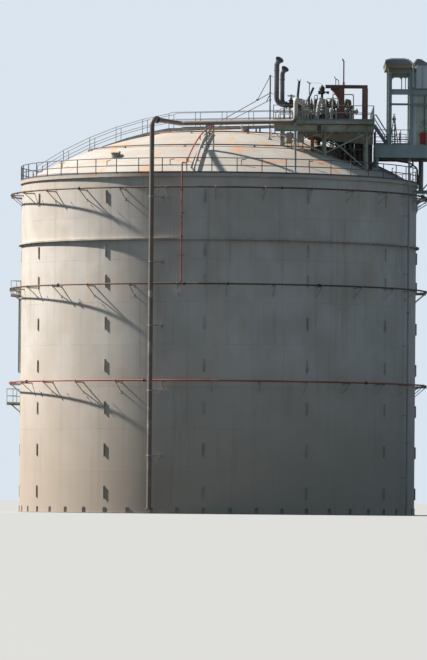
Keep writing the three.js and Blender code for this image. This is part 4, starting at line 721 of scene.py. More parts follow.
wall_mesh = mesh_of("tank_wall", [ring_of(14.05, TANK_RADIUS, 0.06, WALL_TOP)])
wrap(wall_mesh, TANK_RADIUS)
wall = settle("tank_wall", wall_mesh, WALL, *[f"shell_segment_{i}" for i in range(1, 5)])
girder = turned([(14.39, 19.49), (14.6, 19.49), (14.6, 19.41), (14.63, 19.41), (14.63, 19.51),
                 (14.39, 19.51)], ROUND)
make("stiffening_ring", [girder], WALL, smooth=20)
print("wall faces:", len(wall.data.polygons))

# %% Lugs, ring gussets and bottom plate
FIN_TOPS = [COURSE * course - 1.05 for course in (1, 2, 3, 4, 5, 6, 8)] + [19.1]
lug = []
for top in FIN_TOPS:
    lug += [box(WALL_IN, 14.5, -0.02, 0.02, top - 0.85, top),
            box(WALL_IN, 14.41, -0.09, 0.09, top - 0.9, top + 0.05)]
copies_round("wall_lugs", lug, WALL, 12, -3.9, 30.0, smooth=20)
gusset = upright_plate([(14.39, 19.28), (14.58, 19.488), (14.39, 19.488)], 0.016)
copies_round("ring_gussets", [gusset], WALL, 72, 0.0, 5.0, smooth=20)
bottom = turned([(0.0, 0.0), (14.46, 0.0), (14.46, 0.06), (0.0, 0.06)], ROUND, closed=False)
make("bottom_plate", [bottom], BASE_GREY, "tank_bottom")
chair = [box(WALL_IN, 14.44, y, y + 0.015, 0.06, 0.4) for y in (-0.1, 0.085)]
chair += [box(WALL_IN, 14.45, -0.13, 0.13, 0.4, 0.43), post(14.425, 0, 0.06, 0.5, 0.02, 6)]
copies_round("anchor_chairs", chair, BASE_GREY, 48, 3.75, 7.5, smooth=20)
print("lugs:", 12 * len(FIN_TOPS))

# %% [markdown]
# ## The dome
# The roof is a shallow cap of plate with a curb that overhangs the wall. It is turned from a profile like
# the wall, and closed over the crown. Manholes, lifting hooks and the curb band keep it from looking bare.

# %% Domed roof and curb
CURB_TOP = 24.12
ROOF_DEEP = 0.25
rings = [TANK_RADIUS - i * 0.6 for i in range(24)] + [0.0]
profile = [(r, dome_height(r) - ROOF_DEEP) for r in reversed(rings)]
profile += [(14.05, WALL_TOP), (14.52, WALL_TOP), (14.52, CURB_TOP), (14.43, CURB_TOP), (14.42, 24.01)]
profile += [(r, dome_height(r)) for r in rings]
dome = make("domed_roof", [turned(profile, ROUND, closed=False)], DOME,
            *[f"roof_sector_{i}" for i in range(1, 5)], "roof_crown", smooth=25)
print("roof faces:", len(dome.data.polygons))

# %% Curb band, lifting hooks and manholes
make("roof_curb_band", [ring_of(14.5, 14.535, 23.885, 23.95)], WALL, smooth=20)
hook_z = dome_height(13.0)
hook = [post(13.0, 0, hook_z - 0.05, hook_z + 0.34, 0.03),
        line([(13.0, 0, hook_z + 0.3), (13.0, 0, hook_z + 0.36), (13.0, 0.34, hook_z + 0.4)], 0.03, 0.05, 8, 3)]
copies_round("lifting_hooks", hook, RING_BROWN, 16, -38.2, 22.5)
manholes = []
for angle, radius in ((-40, 11.6), (35, 3.2), (140, 11.6), (-145, 3.4)):
    z = dome_height(radius)
    manholes += all_at_angle([post(radius, 0, z - 0.15, z + 0.28, 0.3, 24),
                              post(radius, 0, z + 0.28, z + 0.33, 0.38, 24),
                              box(radius - 0.5, radius - 0.36, -0.03, 0.03, z - 0.02, z + 0.45)], angle)
make("roof_manholes", manholes, WALKWAY)
print("hooks: 16, manholes: 4")

# %% [markdown]
# ## Spray rings on the wall
# Three ring pipes stand 0.7 m off the wall and wet it when it must be cooled. Each rests on 27 light
# angle brackets: a short level arm, and a long brace that runs in and down to the wall. The upper two
# rings have rusted brown, the lowest is still red. Nozzles face the wall every few metres.

# %% Ring pipes, brackets and nozzles
RING_RADIUS = 15.2
RING_PIPE = 0.06
BRACKETS = 27
NOZZLES = 54
SPRAY_RINGS = {"upper": (23.1, -54.3, RING_BROWN, (-41.1, 17.0, 75.0, 140.0, -150.0)),
               "middle": (16.26, -51.2, RING_BROWN, (-48.9, -9.2, 2.5, 28.0, 100.0, -140.0)),
               "lower": (9.42, -55.1, RING_RED, (-64.6, -20.0, 44.0, 120.0, -150.0))}


def wall_bracket(z):
    clip = [(15.12, -0.06), (15.125, 0.045), (15.2, 0.085), (15.275, 0.045), (15.28, -0.06)]
    return [box(14.39, 15.28, -0.022, 0.022, z - 0.105, z - 0.06),
            box(14.39, 15.28, -0.022, -0.012, z - 0.15, z - 0.06),
            beam((14.39, 0, z - 0.78), (15.2, 0, z - 0.09), 0.05),
            box(WALL_IN, 14.41, -0.07, 0.07, z - 0.9, z - 0.68),
            box(WALL_IN, 14.41, -0.07, 0.07, z - 0.18, z - 0.02),
            tube([(x, 0, z + lift) for x, lift in clip], 0.012, 6)]


for level, (height, phase, finish, couplings) in SPRAY_RINGS.items():
    pipe = turned(circle(RING_PIPE, 12, (RING_RADIUS, height)), 270)
    make(f"ring_pipe_{level}", [pipe], finish, f"spray_ring_{level}_1", f"spray_ring_{level}_2")
    copies_round(f"ring_brackets_{level}", wall_bracket(height), BRACKET_CREAM, BRACKETS, phase, 360 / BRACKETS)
    nozzle = [bar((15.15, 0, height - 0.01), (14.98, 0, height - 0.03), 0.018),
              bar((15.0, 0, height - 0.028), (14.95, 0, height - 0.034), 0.035)]
    copies_round(f"ring_nozzles_{level}", nozzle, finish, NOZZLES, phase + 3.3, 360 / NOZZLES)
    joints = []
    for angle in couplings:
        centre, way = polar(RING_RADIUS, angle, height), polar(1.0, angle + 90, 0)
        joints += [(centre - way * 0.04, way, 0.11), (centre + way * 0.04, way, 0.11)]
    flanges(f"ring_flanges_{level}", joints, VALVE_DARK)
print("brackets on the wall:", 3 * BRACKETS)

# %% [markdown]
# ## Handrail round the rim
# Posts of 68 mm tube every 1.8 m carry a top rail and a knee rail, with a toe plate at the curb. One bay
# is left open where the ladder comes up. The rails are long arcs, and the posts are turned copies.

# %% Rim handrail
RAIL = 1.1
RAIL_TOP = RAIL - 0.03
RAIL_LIFTS = (RAIL_TOP, RAIL / 2)
BAYS = 51
BAY = 360 / BAYS
RAIL_RADIUS = 14.48
FIRST_POST = 4.9 + BAY * -17
RIM_TUBE = 0.034


def rail_arcs(radius, first, last, base, tube_radius):
    toe = arc(radius, base + 0.06, first, last, 1.8)
    shapes = [tube(arc(radius, base + lift, first, last, 1.8), tube_radius, 8) for lift in RAIL_LIFTS]
    return shapes + chain(toe, lambda here, there: beam(here, there, 0.012, 0.12))


rail_post = [post(RAIL_RADIUS, 0, CURB_TOP, CURB_TOP + RAIL_TOP, RIM_TUBE),
             box(RAIL_RADIUS - 0.05, RAIL_RADIUS + 0.04, -0.06, 0.06, CURB_TOP, CURB_TOP + 0.02)]
copies_round("rim_rail_posts", rail_post, RAIL_DARK, BAYS, FIRST_POST, BAY)
last_post = FIRST_POST + (BAYS - 1) * BAY
make("rim_rails", rail_arcs(RAIL_RADIUS, FIRST_POST, last_post, CURB_TOP, RIM_TUBE), RAIL_DARK,
     "rim_rail_1", "rim_rail_2")
print("posts:", BAYS, "open bay at", round(FIRST_POST - BAY, 1), "to", round(FIRST_POST, 1), "degrees")

# %% Spray rings on the dome
shapes = []
for radius, feet in ((9.6, 12), (5.3, 8)):
    z = dome_height(radius) + 0.12
    shapes.append(turned(circle(0.045, 10, (radius, z)), 120))
    for i in range(feet):
        foot = [block(radius, 0, 0.03, 0.03, z - 0.3, z), block(radius, 0, 0.12, 0.1, z - 0.16, z - 0.105)]
        shapes += all_at_angle(foot, 360 * (i + 0.5) / feet)
branch = [polar(r, 157.5, dome_height(r) + 0.12) for r in (5.3, 6.4, 7.5, 8.6, 9.6)]
make("dome_spray_rings", shapes + [tube(branch, 0.04, 10)], RING_BROWN, "roof_spray_rings")
print("dome rings at 9.6 m and 5.3 m")

# %% [markdown]
# ## The walkway over the dome
# Steps climb the dome from the ladder's gate, then run level over the crown to the platform. Side plates
# carry open treads, and a two-rail handrail follows on each side. All of it is drawn in the walkway's own
# plane, distance along and height, and then turned to its angle.

# %% Walkway: stringers, treads and bearers
WALK_ANGLE = 68.0
WALK_TOP = 28.3
WALK_END = 6.65
WALK_LIFT = 0.45
HALF_WALK = 0.44
TREAD_HALF = HALF_WALK - 0.02
STEPS = 20
rise = (WALK_TOP - RIM - WALK_LIFT) / STEPS
levels = [RIM + WALK_LIFT + rise * i for i in range(STEPS + 1)]
nosing = [(-math.sqrt(DOME_RADIUS**2 - (z - WALK_LIFT - DOME_CENTRE) ** 2), z) for z in levels]
nosing[0] = (nosing[0][0] + 0.02, nosing[0][1])


def walk_line(distance):
    return min(dome_height(abs(distance)) + WALK_LIFT, WALK_TOP) if distance < 0 else WALK_TOP


stringer = [(x, walk_line(x) + 0.03) for x in (-14.35, -12.6, -10.8, -9.0, -7.2, -5.4, -3.9, WALK_END)]
stringer += [(x, z - 0.17) for x, z in reversed(stringer)]
walk = [upright_plate(stringer, 0.012, side * (HALF_WALK - 0.01)) for side in (-1, 1)]
for (x0, z0), (x1, _) in zip(nosing, nosing[1:]):
    walk.append(box(x0 - 0.02, min(x0 + 0.28, x1 + 0.05), -TREAD_HALF, TREAD_HALF, z0 - 0.035, z0))
for foot in (-14.0, -11.2, -8.6, -6.05, -3.2, 0.0, 3.0, 5.6):
    low, top = dome_height(abs(foot)) - 0.1, min(dome_height(abs(foot)) + 0.34, WALK_TOP - 0.1)
    walk.append(block(foot, 0, 0.04, TREAD_HALF, top - 0.06, top))
    walk += [block(foot, side * 0.36, 0.05, 0.04, low, top) for side in (-1, 1)]
make("walkway_frame", all_at_angle(walk, WALK_ANGLE), WALKWAY, "roof_walkway", smooth=20)
print("steps:", STEPS, "rise", round(rise, 3), "m")

# %% Walkway grating, in a row of bearing bars
GRATING = 0.06
level_start = nosing[-1][0]
bars = round((WALK_END - level_start) / GRATING)
one_bar = at_angle(box(level_start, level_start + 0.008, -TREAD_HALF, TREAD_HALF, WALK_TOP - 0.035, WALK_TOP),
                   WALK_ANGLE)
copies_in_row("walkway_grating", [one_bar], WALKWAY, bars, polar(GRATING, WALK_ANGLE, 0.0), smooth=20)
ties = [box(level_start, WALK_END, y - 0.006, y + 0.006, WALK_TOP - 0.03, WALK_TOP - 0.004)
        for y in (-0.33, -0.2, -0.07, 0.07, 0.2, 0.33)]
make("walkway_grating_ties", all_at_angle(ties, WALK_ANGLE), WALKWAY, smooth=20)
print("grating bars:", bars)

# %% Walkway handrails
RAIL_BAYS = 10
WALK_TUBE = 0.024
start_rail = nosing[0][0] + 0.04
marks = [start_rail + (WALK_END - start_rail) * i / RAIL_BAYS for i in range(RAIL_BAYS + 1)]
for name, side in (("front", -1), ("back", 1)):
    y = side * (HALF_WALK + 0.03)
    shapes = []
    for lift in RAIL_LIFTS:
        climb = [(x, y, walk_line(x) + lift) for x in marks if x < -3.5]
        level = [(-3.6, y, WALK_TOP + lift), (WALK_END, y, WALK_TOP + lift)]
        shapes.append(tube(climb + level, WALK_TUBE, 8))
    shapes += [post(x, y, walk_line(x) - 0.08, walk_line(x) + RAIL_TOP, WALK_TUBE) for x in marks]
    make(f"walkway_rails_{name}", all_at_angle(shapes, WALK_ANGLE), GALVANISED, f"walkway_rail_{name}")
print("rail posts a side:", len(marks))

# %% [markdown]
# ## Ladders and cages
# Three flights of 8 m climb the wall on stand-off arms. Rungs sit 0.3 m apart; above 2.3 m, hoops and
# upright straps make a cage. The rungs and hoops are rows of copies, one tree run for each flight.

# %% Ladder flights
FLIGHTS = {"lower": (-117.5, 0.0, 8.0, (1.5, 4.5, 7.3)), "middle": (-112.5, 8.0, 16.0, (10.3, 12.8, 15.3)),
           "upper": (-117.5, 16.0, 24.0, (17.8, 20.5, 22.6))}
STILE = 15.425
HALF_LADDER = 0.275
CAGE_LOW = 2.3
CAGE_CENTRE = STILE + 0.2


def on_cage(turn, radius=0.335):
    return CAGE_CENTRE + radius * math.cos(math.radians(turn)), radius * math.sin(math.radians(turn))


hoop_turns = range(-124, 125, 31)
hoop = [on_cage(turn, 0.345) for turn in hoop_turns] + [on_cage(turn) for turn in hoop_turns][::-1]
for name, (angle, low, high, arms) in FLIGHTS.items():
    shapes = [block(*on_cage(turn), 0.02, 0.02, low + CAGE_LOW, high - 0.25)
              for turn in (-124, -62, -31, 0, 31, 62, 124)]
    for y in (-HALF_LADDER, HALF_LADDER):
        shapes.append(block(STILE, y, 0.03, 0.006, low, high + RAIL))
        for z in arms:
            shapes.append(box(WALL_IN, STILE, y - 0.03, y + 0.03, z - 0.006, z + 0.006))
            shapes.append(box(WALL_IN, STILE, y - 0.004, y + 0.004, z - 0.05, z))
    if name == "upper":
        shapes.append(box(WALL_IN, 15.4, -0.5, 0.5, 23.955, 23.99))
        shapes += [beam((14.4, y, 23.4), (15.1, y, 23.93), 0.06) for y in (-0.4, 0.4)]
    make(f"ladder_{name}_frame", all_at_angle(shapes, angle), GALVANISED, f"ladder_{name}", smooth=20)
    rung = bar((STILE, -HALF_LADDER, low + 0.3), (STILE, HALF_LADDER, low + 0.3), 0.012)
    copies_in_row(f"ladder_{name}_rungs", [at_angle(rung, angle)], GALVANISED, 26, (0, 0, 0.3))
    first_hoop = slab(hoop, low + CAGE_LOW, low + CAGE_LOW + 0.05)
    copies_in_row(f"ladder_{name}_hoops", [at_angle(first_hoop, angle)], GALVANISED, 7,
                  (0, 0, (high - 0.3 - low - CAGE_LOW) / 6), smooth=60)
print("flights:", len(FLIGHTS))

# %% Landings between the flights
LANDINGS = {"lower": (8.0, -119.5, -105.5, -117.5, (-119.0, -114.9, -107.5)),
            "upper": (16.0, -119.5, -108.0, -112.5, (-119.2, -115.0, -110.0))}
INNER, PLATE_IN, PLATE_OUT, OUTER = 15.33, 15.4, 16.05, 16.15
LANDING_TUBE = 0.024
HATCH_HALF = math.degrees(0.34 / 15.7)


def curved_plate(first, last, inner, outer, z0, z1):
    steps = max(2, round(last - first))
    angles = [first + (last - first) * i / steps for i in range(steps + 1)]
    rim = [polar(outer, a, 0) for a in angles] + [polar(inner, a, 0) for a in reversed(angles)]
    return slab([(p.x, p.y) for p in rim], z0, z1)


for name, (top, first, last, hatch, arms) in LANDINGS.items():
    shapes = [curved_plate(first, last, INNER, PLATE_IN, top - 0.06, top),
              curved_plate(first, last, PLATE_OUT, OUTER, top - 0.12, top),
              curved_plate(first, hatch - HATCH_HALF, PLATE_IN, PLATE_OUT, top - 0.03, top),
              curved_plate(hatch + HATCH_HALF, last, PLATE_IN, PLATE_OUT, top - 0.03, top)]
    shapes += rail_arcs(OUTER - 0.03, first, last, top, 0.026)
    for i in range(4):
        outside = polar(OUTER - 0.03, first + (last - first) * i / 3, top)
        shapes.append(bar(outside - UP * 0.1, outside + UP * RAIL_TOP, LANDING_TUBE))
    for angle in (first, last):
        inside, outside = polar(INNER + 0.03, angle, top), polar(OUTER - 0.03, angle, top)
        shapes += [bar(inside + UP * lift, outside + UP * lift, LANDING_TUBE) for lift in RAIL_LIFTS]
        shapes.append(bar(inside, inside + UP * RAIL_TOP, LANDING_TUBE))
    for angle in arms:
        shapes += all_at_angle([box(WALL_IN, 16.0, -0.04, 0.04, top - 0.14, top - 0.04),
                                beam((14.4, 0, top - 1.35), (15.9, 0, top - 0.13), 0.07)], angle)
    make(f"landing_{name}_steel", shapes, PLATFORM, f"landing_{name}", smooth=30)
print("landings:", len(LANDINGS))

# %% [markdown]
# ## The vapour line
# A 330 mm pipe leaves the ground in front of the wall, climbs over the rim, crosses the front of the
# dome, and rises in an arch over the platform's edge. It is lengths of pipe joined by bolted flanges,
# so after the pipe itself the flanges go on with the same flange tree, and each wall arm gets a clamp.

# %% Downcomer with its wall arms and clamps
VAPOUR_PIPE = 0.165
WELD_BEAD = VAPOUR_PIPE + 0.008
VAPOUR_Z = 27.9
DOWNCOMER_ANGLE = -18.0
DOWNCOMER = polar(15.5, DOWNCOMER_ANGLE, 0.0)
TURN = Vector((-2.9, -9.7, VAPOUR_Z))
top_corner = DOWNCOMER + UP * VAPOUR_Z
toward = (TURN - top_corner).normalized()
joint = top_corner + toward * 0.9
shapes = [line([joint, top_corner, DOWNCOMER + UP * 0.3], VAPOUR_PIPE, 0.5, 28, 8)]
shapes += [post(*DOWNCOMER.xy, z, z + 0.016, WELD_BEAD, 28) for z in (5.9, 11.0, 15.5, 20.0, 24.8)]
make("vapour_downcomer_pipe", shapes, CREAM_PIPE, "vapour_downcomer", smooth=50)
arms = []
for z in (22.4, 17.8, 13.3, 8.7, 4.1):
    for angle in (DOWNCOMER_ANGLE - 2.0, DOWNCOMER_ANGLE + 2.0):
        arms.append(beam(polar(WALL_IN, angle, z), DOWNCOMER + UP * z, 0.07))
        arms.append(at_angle(box(WALL_IN, 14.42, -0.09, 0.09, z - 0.11, z + 0.11), angle))
    arms.append(post(*DOWNCOMER.xy, z - 0.045, z + 0.045, 0.185, 24))
make("downcomer_arms", arms, PIPE_GREY)
print("the line climbs to", VAPOUR_Z, "m, wall arms:", len(arms))

# %% Header across the dome, arch and supports
HEADER_X = 5.36
corners = [joint + toward * 0.06, TURN, Vector((HEADER_X, -13.15, VAPOUR_Z)), (HEADER_X, -13.15, 29.5),
           (6.0, -7.5, 29.5), (6.0, -7.5, 28.3)]
across = (corners[2] - TURN).normalized()
shapes = [line(corners, VAPOUR_PIPE, 0.3, 28, 8)]
for distance in (2.9, 5.8):
    bead = TURN + across * distance
    shapes.append(bar(bead, bead + across * 0.016, WELD_BEAD, 28))
make("vapour_header_pipe", shapes, CREAM_PIPE, "vapour_header", smooth=50)
posts = [post(HEADER_X, -13.09, dome_height(14.15) - 0.3, VAPOUR_Z - 0.1, 0.085, 16),
         post(HEADER_X, -13.09, CURB_TOP, 24.16, 0.19, 16)]
posts += [post(x, y, dome_at(x, y) - 0.2, VAPOUR_Z - 0.1, 0.055, 12)
          for x, y in ((-0.95, -10.515), (-0.45, -10.724))]
posts += [beam((-1.0, -10.5, VAPOUR_Z - 0.2), (-0.4, -10.745, VAPOUR_Z - 0.2), 0.08),
          beam((-0.95, -10.515, 26.6), (-0.45, -10.724, 27.3), 0.04)]
make("vapour_header_posts", posts, PIPE_GREY)
flanges("vapour_flanges", [(joint - toward * 0.03, toward, 0.255), (DOWNCOMER + UP * 0.33, UP, 0.275),
                           (joint + toward * 0.03, toward, 0.255), ((6.0, -7.5, 28.335), UP, 0.275)],
        CREAM_PIPE, bolts=12, thickness=0.2)
print("header length about", round((corners[2] - TURN).length + 5.7 + 1.6, 1), "m")

# %% [markdown]
# ## Riser, feed pipe and down pipe
# The red riser brings drench water over the rim to the middle spray ring. The grey pipe beside it feeds
# the dome. Both lie on low saddles. A small down pipe runs the height of the wall on the right.

# %% The small pipes
RISER_ANGLE, FEED_ANGLE, DOWN_ANGLE = -10.2, -7.4, 67.7
RISER_OUT, DOWN_OUT = 14.95, 14.78


def on_dome(radii, angle, lift):
    return [polar(r, angle, dome_height(r) + lift) for r in radii]


def wall_stays(heights, angle, out, clamp, half, sides):
    """A square arm from the wall and a round clamp at each height."""
    shapes = []
    for z in heights:
        shapes.append(at_angle(box(WALL_IN, out, -0.025, 0.025, z - 0.025, z + 0.025), angle))
        shapes.append(bar(polar(out, angle, z - half), polar(out, angle, z + half), clamp, sides))
    return shapes


drop = [polar(RISER_OUT, RISER_ANGLE, z) for z in (24.82, 16.26)]
over = pipe_route([*on_dome([13.4], RISER_ANGLE, 0.3), *drop, polar(15.1, RISER_ANGLE, 16.26)], 0.11, 6)
shapes = [tube(on_dome((3.6, 5.0, 6.5, 7.9, 9.2, 10.4, 11.5, 12.5), RISER_ANGLE, 0.3) + over, 0.05, 14)]
for radius in (3.7, 8.0, 12.6):
    z = dome_height(radius)
    shapes += all_at_angle([block(radius, 0, 0.03, 0.03, z - 0.1, z + 0.28),
                            block(radius, 0, 0.035, 0.075, z + 0.22, z + 0.25)], RISER_ANGLE)
shapes += wall_stays((21.3, 18.3), RISER_ANGLE, RISER_OUT, 0.065, 0.03, 14)
make("drench_riser_pipe", shapes, RING_RED, "drench_riser", smooth=50)
flanges("riser_flanges", [(polar(RISER_OUT, RISER_ANGLE, z), UP, 0.1) for z in (22.9, 22.94, 19.6, 19.64)],
        RING_RED)

feed = on_dome((5.95, 7.2, 8.4, 9.6, 10.8, 11.9, 13.0, 14.0), FEED_ANGLE, 0.29)
ends = on_dome((5.95, 14.0), FEED_ANGLE, -0.2)
feed_pipe = pipe_route([ends[0], feed[0], feed[1]], 0.2, 6)[:-1] + feed[1:-1]
feed_pipe += pipe_route([feed[-2], feed[-1], ends[1]], 0.2, 6)[1:]
shapes = [tube(feed_pipe, 0.09, 18)]
for radius in (7.6, 10.0, 12.4):
    z = dome_height(radius)
    shapes.append(at_angle(block(radius, 0, 0.04, 0.1, z - 0.1, z + 0.24), FEED_ANGLE))
make("roof_feed_line", shapes, PIPE_GREY, "roof_feed_pipe", smooth=50)
feed_way = (feed[2] - feed[1]).normalized()
flanges("feed_flanges", [(feed[1] + feed_way * gap, feed_way, 0.15) for gap in (0.6, 0.65)], PIPE_GREY)

shapes = [bar(polar(DOWN_OUT, DOWN_ANGLE, 0.3), polar(DOWN_OUT, DOWN_ANGLE, 25.4), 0.075, 16)]
shapes += wall_stays((2.7, 7.2, 12.2, 17.4, 21.6), DOWN_ANGLE, DOWN_OUT, 0.092, 0.035, 16)
make("wall_down_pipe", shapes, PIPE_GREY, "side_downpipe", smooth=50)
down_joints = [polar(DOWN_OUT, DOWN_ANGLE, z) for z in (5.2, 5.25, 14.6, 14.65, 23.7, 23.75)]
flanges("down_pipe_flanges", [(place, UP, 0.13) for place in down_joints], PIPE_GREY)
print("small pipes done")

# %% [markdown]
# ## The roof platform
# A deck of plate on joists stands over the dome on three frames of girders and columns. Real steelwork
# is rolled sections with plates where they meet, so the imported bars are redrawn as H sections with base
# plates, stiffeners and thin cross bracing. The front frame also carries a skirt of dark sheet; its dark,
# stained colour is partly weathering and partly painted shade for the shaded space under the deck.

# %% Deck plate, kerb channel and joists
DECK_TOP = 28.3
DECK_EDGE = [(3.8, -8.2), (11.1, -8.2), (11.1, 1.6), (7.87, 1.6), (4.477, -6.8), (3.8, -6.8)]
JOISTS = 11
shapes = [slab(DECK_EDGE, DECK_TOP - 0.03, DECK_TOP)]
for here, there in zip(DECK_EDGE, DECK_EDGE[1:] + DECK_EDGE[:1]):
    here, there = Vector((*here, DECK_TOP - 0.14)), Vector((*there, DECK_TOP - 0.14))
    along = (there - here).normalized()
    inward = Vector((-along.y, along.x, 0)) * 0.06
    shapes.append(beam(here + inward, there + inward, 0.02, 0.24))
    for lift in (0.11, -0.11):
        lip = inward * 0.6 + UP * lift
        shapes.append(beam(here + lip, there + lip, 0.09, 0.015))
for i in range(JOISTS):
    y = -8.08 + i * 0.958
    left = 3.9 if y < -6.8 else 4.477 + (y + 6.8) * 0.404 + 0.1
    shapes.append(h_beam((left, y, 28.16), (11.0, y, 28.16), 0.1, 0.22, 0.014))
make("platform_deck_plate", shapes, PLATFORM, "platform_deck", smooth=20)
tread_bar = [box(3.86, 4.4, -8.14, -8.12, DECK_TOP, DECK_TOP + 0.006)]
copies_in_row("deck_tread_bars", tread_bar, PLATFORM, 9, (0.78, 0.0, 0.0), smooth=20)
print("joists:", JOISTS)

# %% Girders, columns, base plates and bracing
FRAMES = {"front": (-7.9, 3.9, (4.5, 7.5, 10.5)), "middle": (-2.7, 6.3, (7.1, 10.2)),
          "back": (1.3, 7.9, (8.2, 10.5))}
GIRDER_END = 11.05
GIRDER_TOP = 28.0
GIRDER_MIDDLE = GIRDER_TOP - 0.25


def column_foot(x, y):
    return dome_at(x, y) - 0.12


for name, (y, left, columns) in FRAMES.items():
    shapes = [h_beam((left, y, GIRDER_MIDDLE), (GIRDER_END, y, GIRDER_MIDDLE), 0.22, 0.5, 0.025)]
    shapes += [block(x, y, 0.01, 0.1, GIRDER_TOP - 0.48, GIRDER_TOP - 0.02)
               for x in [left + 0.03, *columns, GIRDER_END - 0.03]]
    for x in columns:
        foot = column_foot(x, y)
        shapes += [h_beam((x, y, foot), (x, y, GIRDER_TOP - 0.49), 0.22, 0.22),
                   block(x, y, 0.2, 0.2, foot + 0.04, foot + 0.16),
                   block(x, y, 0.17, 0.13, GIRDER_TOP - 0.53, GIRDER_TOP - 0.5)]
        shapes += [beam((x + near, y, GIRDER_TOP - 1.05), (x + far, y, GIRDER_TOP - 0.52), 0.05, 0.07)
                   for near, far in ((-0.09, -0.6), (0.09, 0.6))]
    for x0, x1 in zip(columns, columns[1:]):
        low0, low1 = column_foot(x0, y) + 0.25, column_foot(x1, y) + 0.25
        shapes += [beam((x0, y - 0.03, low0), (x1, y - 0.03, GIRDER_TOP - 0.6), 0.015, 0.09),
                   beam((x0, y + 0.03, GIRDER_TOP - 0.6), (x1, y + 0.03, low1), 0.015, 0.09)]
    make(f"platform_girder_{name}", shapes, PLATFORM, f"platform_frame_{name}", smooth=20)
cross = [h_beam((x, y0, 27.7), (x, y1, 27.7), 0.12, 0.24, 0.015)
         for x in (7.5, 8.9, 10.5) for y0, y1 in ((-7.8, -2.8), (-2.6, 1.2))]
make("platform_cross_beams", cross, PLATFORM, smooth=20)
print("frames:", len(FRAMES))

# %% Skirt of dark sheet under the front edge, its dark colour partly painted shade
SKIRT_TOP = 27.52
SKIRT_EDGE = [(5.6, 27.4), (7.14, 27.09), (8.36, 26.82), (11.0, 26.6)]


def skirt_bottom(x):
    for (x0, z0), (x1, z1) in zip(SKIRT_EDGE, SKIRT_EDGE[1:]):
        if x0 <= x <= x1:
            return z0 + (z1 - z0) * (x - x0) / (x1 - x0)


# A dark sheet under the deck's front edge: partly a fascia, partly painted shade where the underside lies in
# shadow.
shapes = [upright_plate([(11.0, SKIRT_TOP), *SKIRT_EDGE[::-1], (5.6, SKIRT_TOP)], 0.02, -7.9)]
shapes += chain([(x, -7.9, z) for x, z in SKIRT_EDGE], lambda here, there: beam(here, there, 0.07, 0.03))
for i in range(13):
    x = 5.75 + i * 0.43
    shapes.append(box(x - 0.012, x + 0.012, -7.955, -7.9, skirt_bottom(x), SKIRT_TOP))
make("platform_skirt", shapes, SKIRT_SHEET_AND_SHADE, smooth=20)
print("skirt from", SKIRT_EDGE[0][0], "to", SKIRT_EDGE[-1][0])

# %% Dark pipe bundle between the skirt and the dome
BUNDLE_TOP = 28.1
bundle = [box(8.3, 10.85, -7.62, -7.56, z, z + 0.1) for z in (26.9, 26.2)]
for i in range(8):
    x, y = 8.42 + i * 0.33, -7.5 + 0.12 * (i % 3)
    foot, joint_z = dome_at(x, y) - 0.05, 0.1 * (i % 3)
    bundle += [post(x, y, foot, BUNDLE_TOP, 0.075 + 0.02 * (i % 2), 14),
               post(x, y, foot, foot + 0.12, 0.15, 14),
               post(x, y, foot + 0.5 + joint_z, foot + 0.62 + joint_z, 0.145, 14),
               post(x + 0.16, -6.8, dome_at(x + 0.16, -6.8) - 0.05, BUNDLE_TOP, 0.1, 14)]
make("pipe_bundle", bundle, DARK_STEEL, smooth=45)
print("pipes in the bundle: 16")

# %% [markdown]
# ## Platform handrails and stair
# The handrail is round bar on upright posts with a toe plate, open where the stair leaves and low where
# the vapour line comes over. One function draws a straight length, and takes the number of its bays.

# %% Straight lengths of handrail
def straight_rail(start, end, bays, floor, low=False):
    size = 0.025
    start, end = Vector((*start, floor)), Vector((*end, floor))
    lifts = RAIL_LIFTS[1:] if low else RAIL_LIFTS
    shapes = [bar(start + UP * lift, end + UP * lift, size) for lift in lifts]
    shapes.append(beam(start + UP * 0.06, end + UP * 0.06, 0.012, 0.12))
    for i in range(bays + 1):
        foot = start.lerp(end, i / bays)
        shapes += [bar(foot, foot + UP * lifts[0], size),
                   block(foot.x, foot.y, 0.05, 0.05, floor, floor + 0.015)]
    return shapes


def rails(floor, *lengths):
    return [shape for length in lengths for shape in straight_rail(*length[:3], floor, *length[3:])]


front = rails(DECK_TOP, ((3.84, -8.16), (5.5, -8.16), 1), ((5.5, -8.16), (6.5, -8.16), 1, True),
              ((6.5, -8.16), (11.035, -8.16), 3), ((3.84, -8.16), (3.84, -6.86), 1),
              ((11.035, -8.16), (11.035, -4.66), 2))
make("platform_rails_front", front, GALVANISED, "platform_rail_front")
back = rails(DECK_TOP, ((7.94, 1.56), (11.035, 1.56), 2), ((11.035, -3.3), (11.035, 1.56), 3))
make("platform_rails_back", back, GALVANISED, "platform_rail_back")
print("lengths of handrail: 7")

# %% Stair down to the shelter deck
TREADS = 6
HEAD, FOOT = (11.232, 28.15), (12.112, 26.85)
shapes = []
for y in (-4.4, -3.6):
    low, high = Vector((12.08, y, 27.75)), Vector((11.17, y, 29.2))
    shapes += [h_beam((HEAD[0], y, HEAD[1]), (FOOT[0], y, FOOT[1]), 0.06, 0.22, 0.012),
               box(11.112, 11.33, y - 0.03, y + 0.03, 27.95, 28.27),
               box(12.0, 12.122, y - 0.03, y + 0.03, 26.76, 26.95),
               line([(12.08, y, 26.9), low, high, (11.17, y, 28.2)], 0.024, 0.08, 8, 3),
               bar(low.lerp(high, 0.02) - UP * 0.45, high - UP * 0.45, 0.02)]
for i in range(TREADS):
    part = (i + 0.35) / TREADS
    x, z = HEAD[0] + part * 0.88, HEAD[1] - part * 1.3
    shapes += [box(x - 0.09 + k * 0.034, x - 0.084 + k * 0.034, -4.38, -3.62, z - 0.02, z + 0.015)
               for k in range(6)]
    shapes += [box(x + near, x + near + 0.01, -4.38, -3.62, z - 0.03, z + 0.018) for near in (-0.094, 0.084)]
    shapes += [box(x - 0.09, x + 0.09, y, y + 0.01, z - 0.03, z + 0.015) for y in (-4.38, -3.63)]
make("platform_stair_steps", shapes, GALVANISED, "platform_stair")
print("treads:", TREADS)

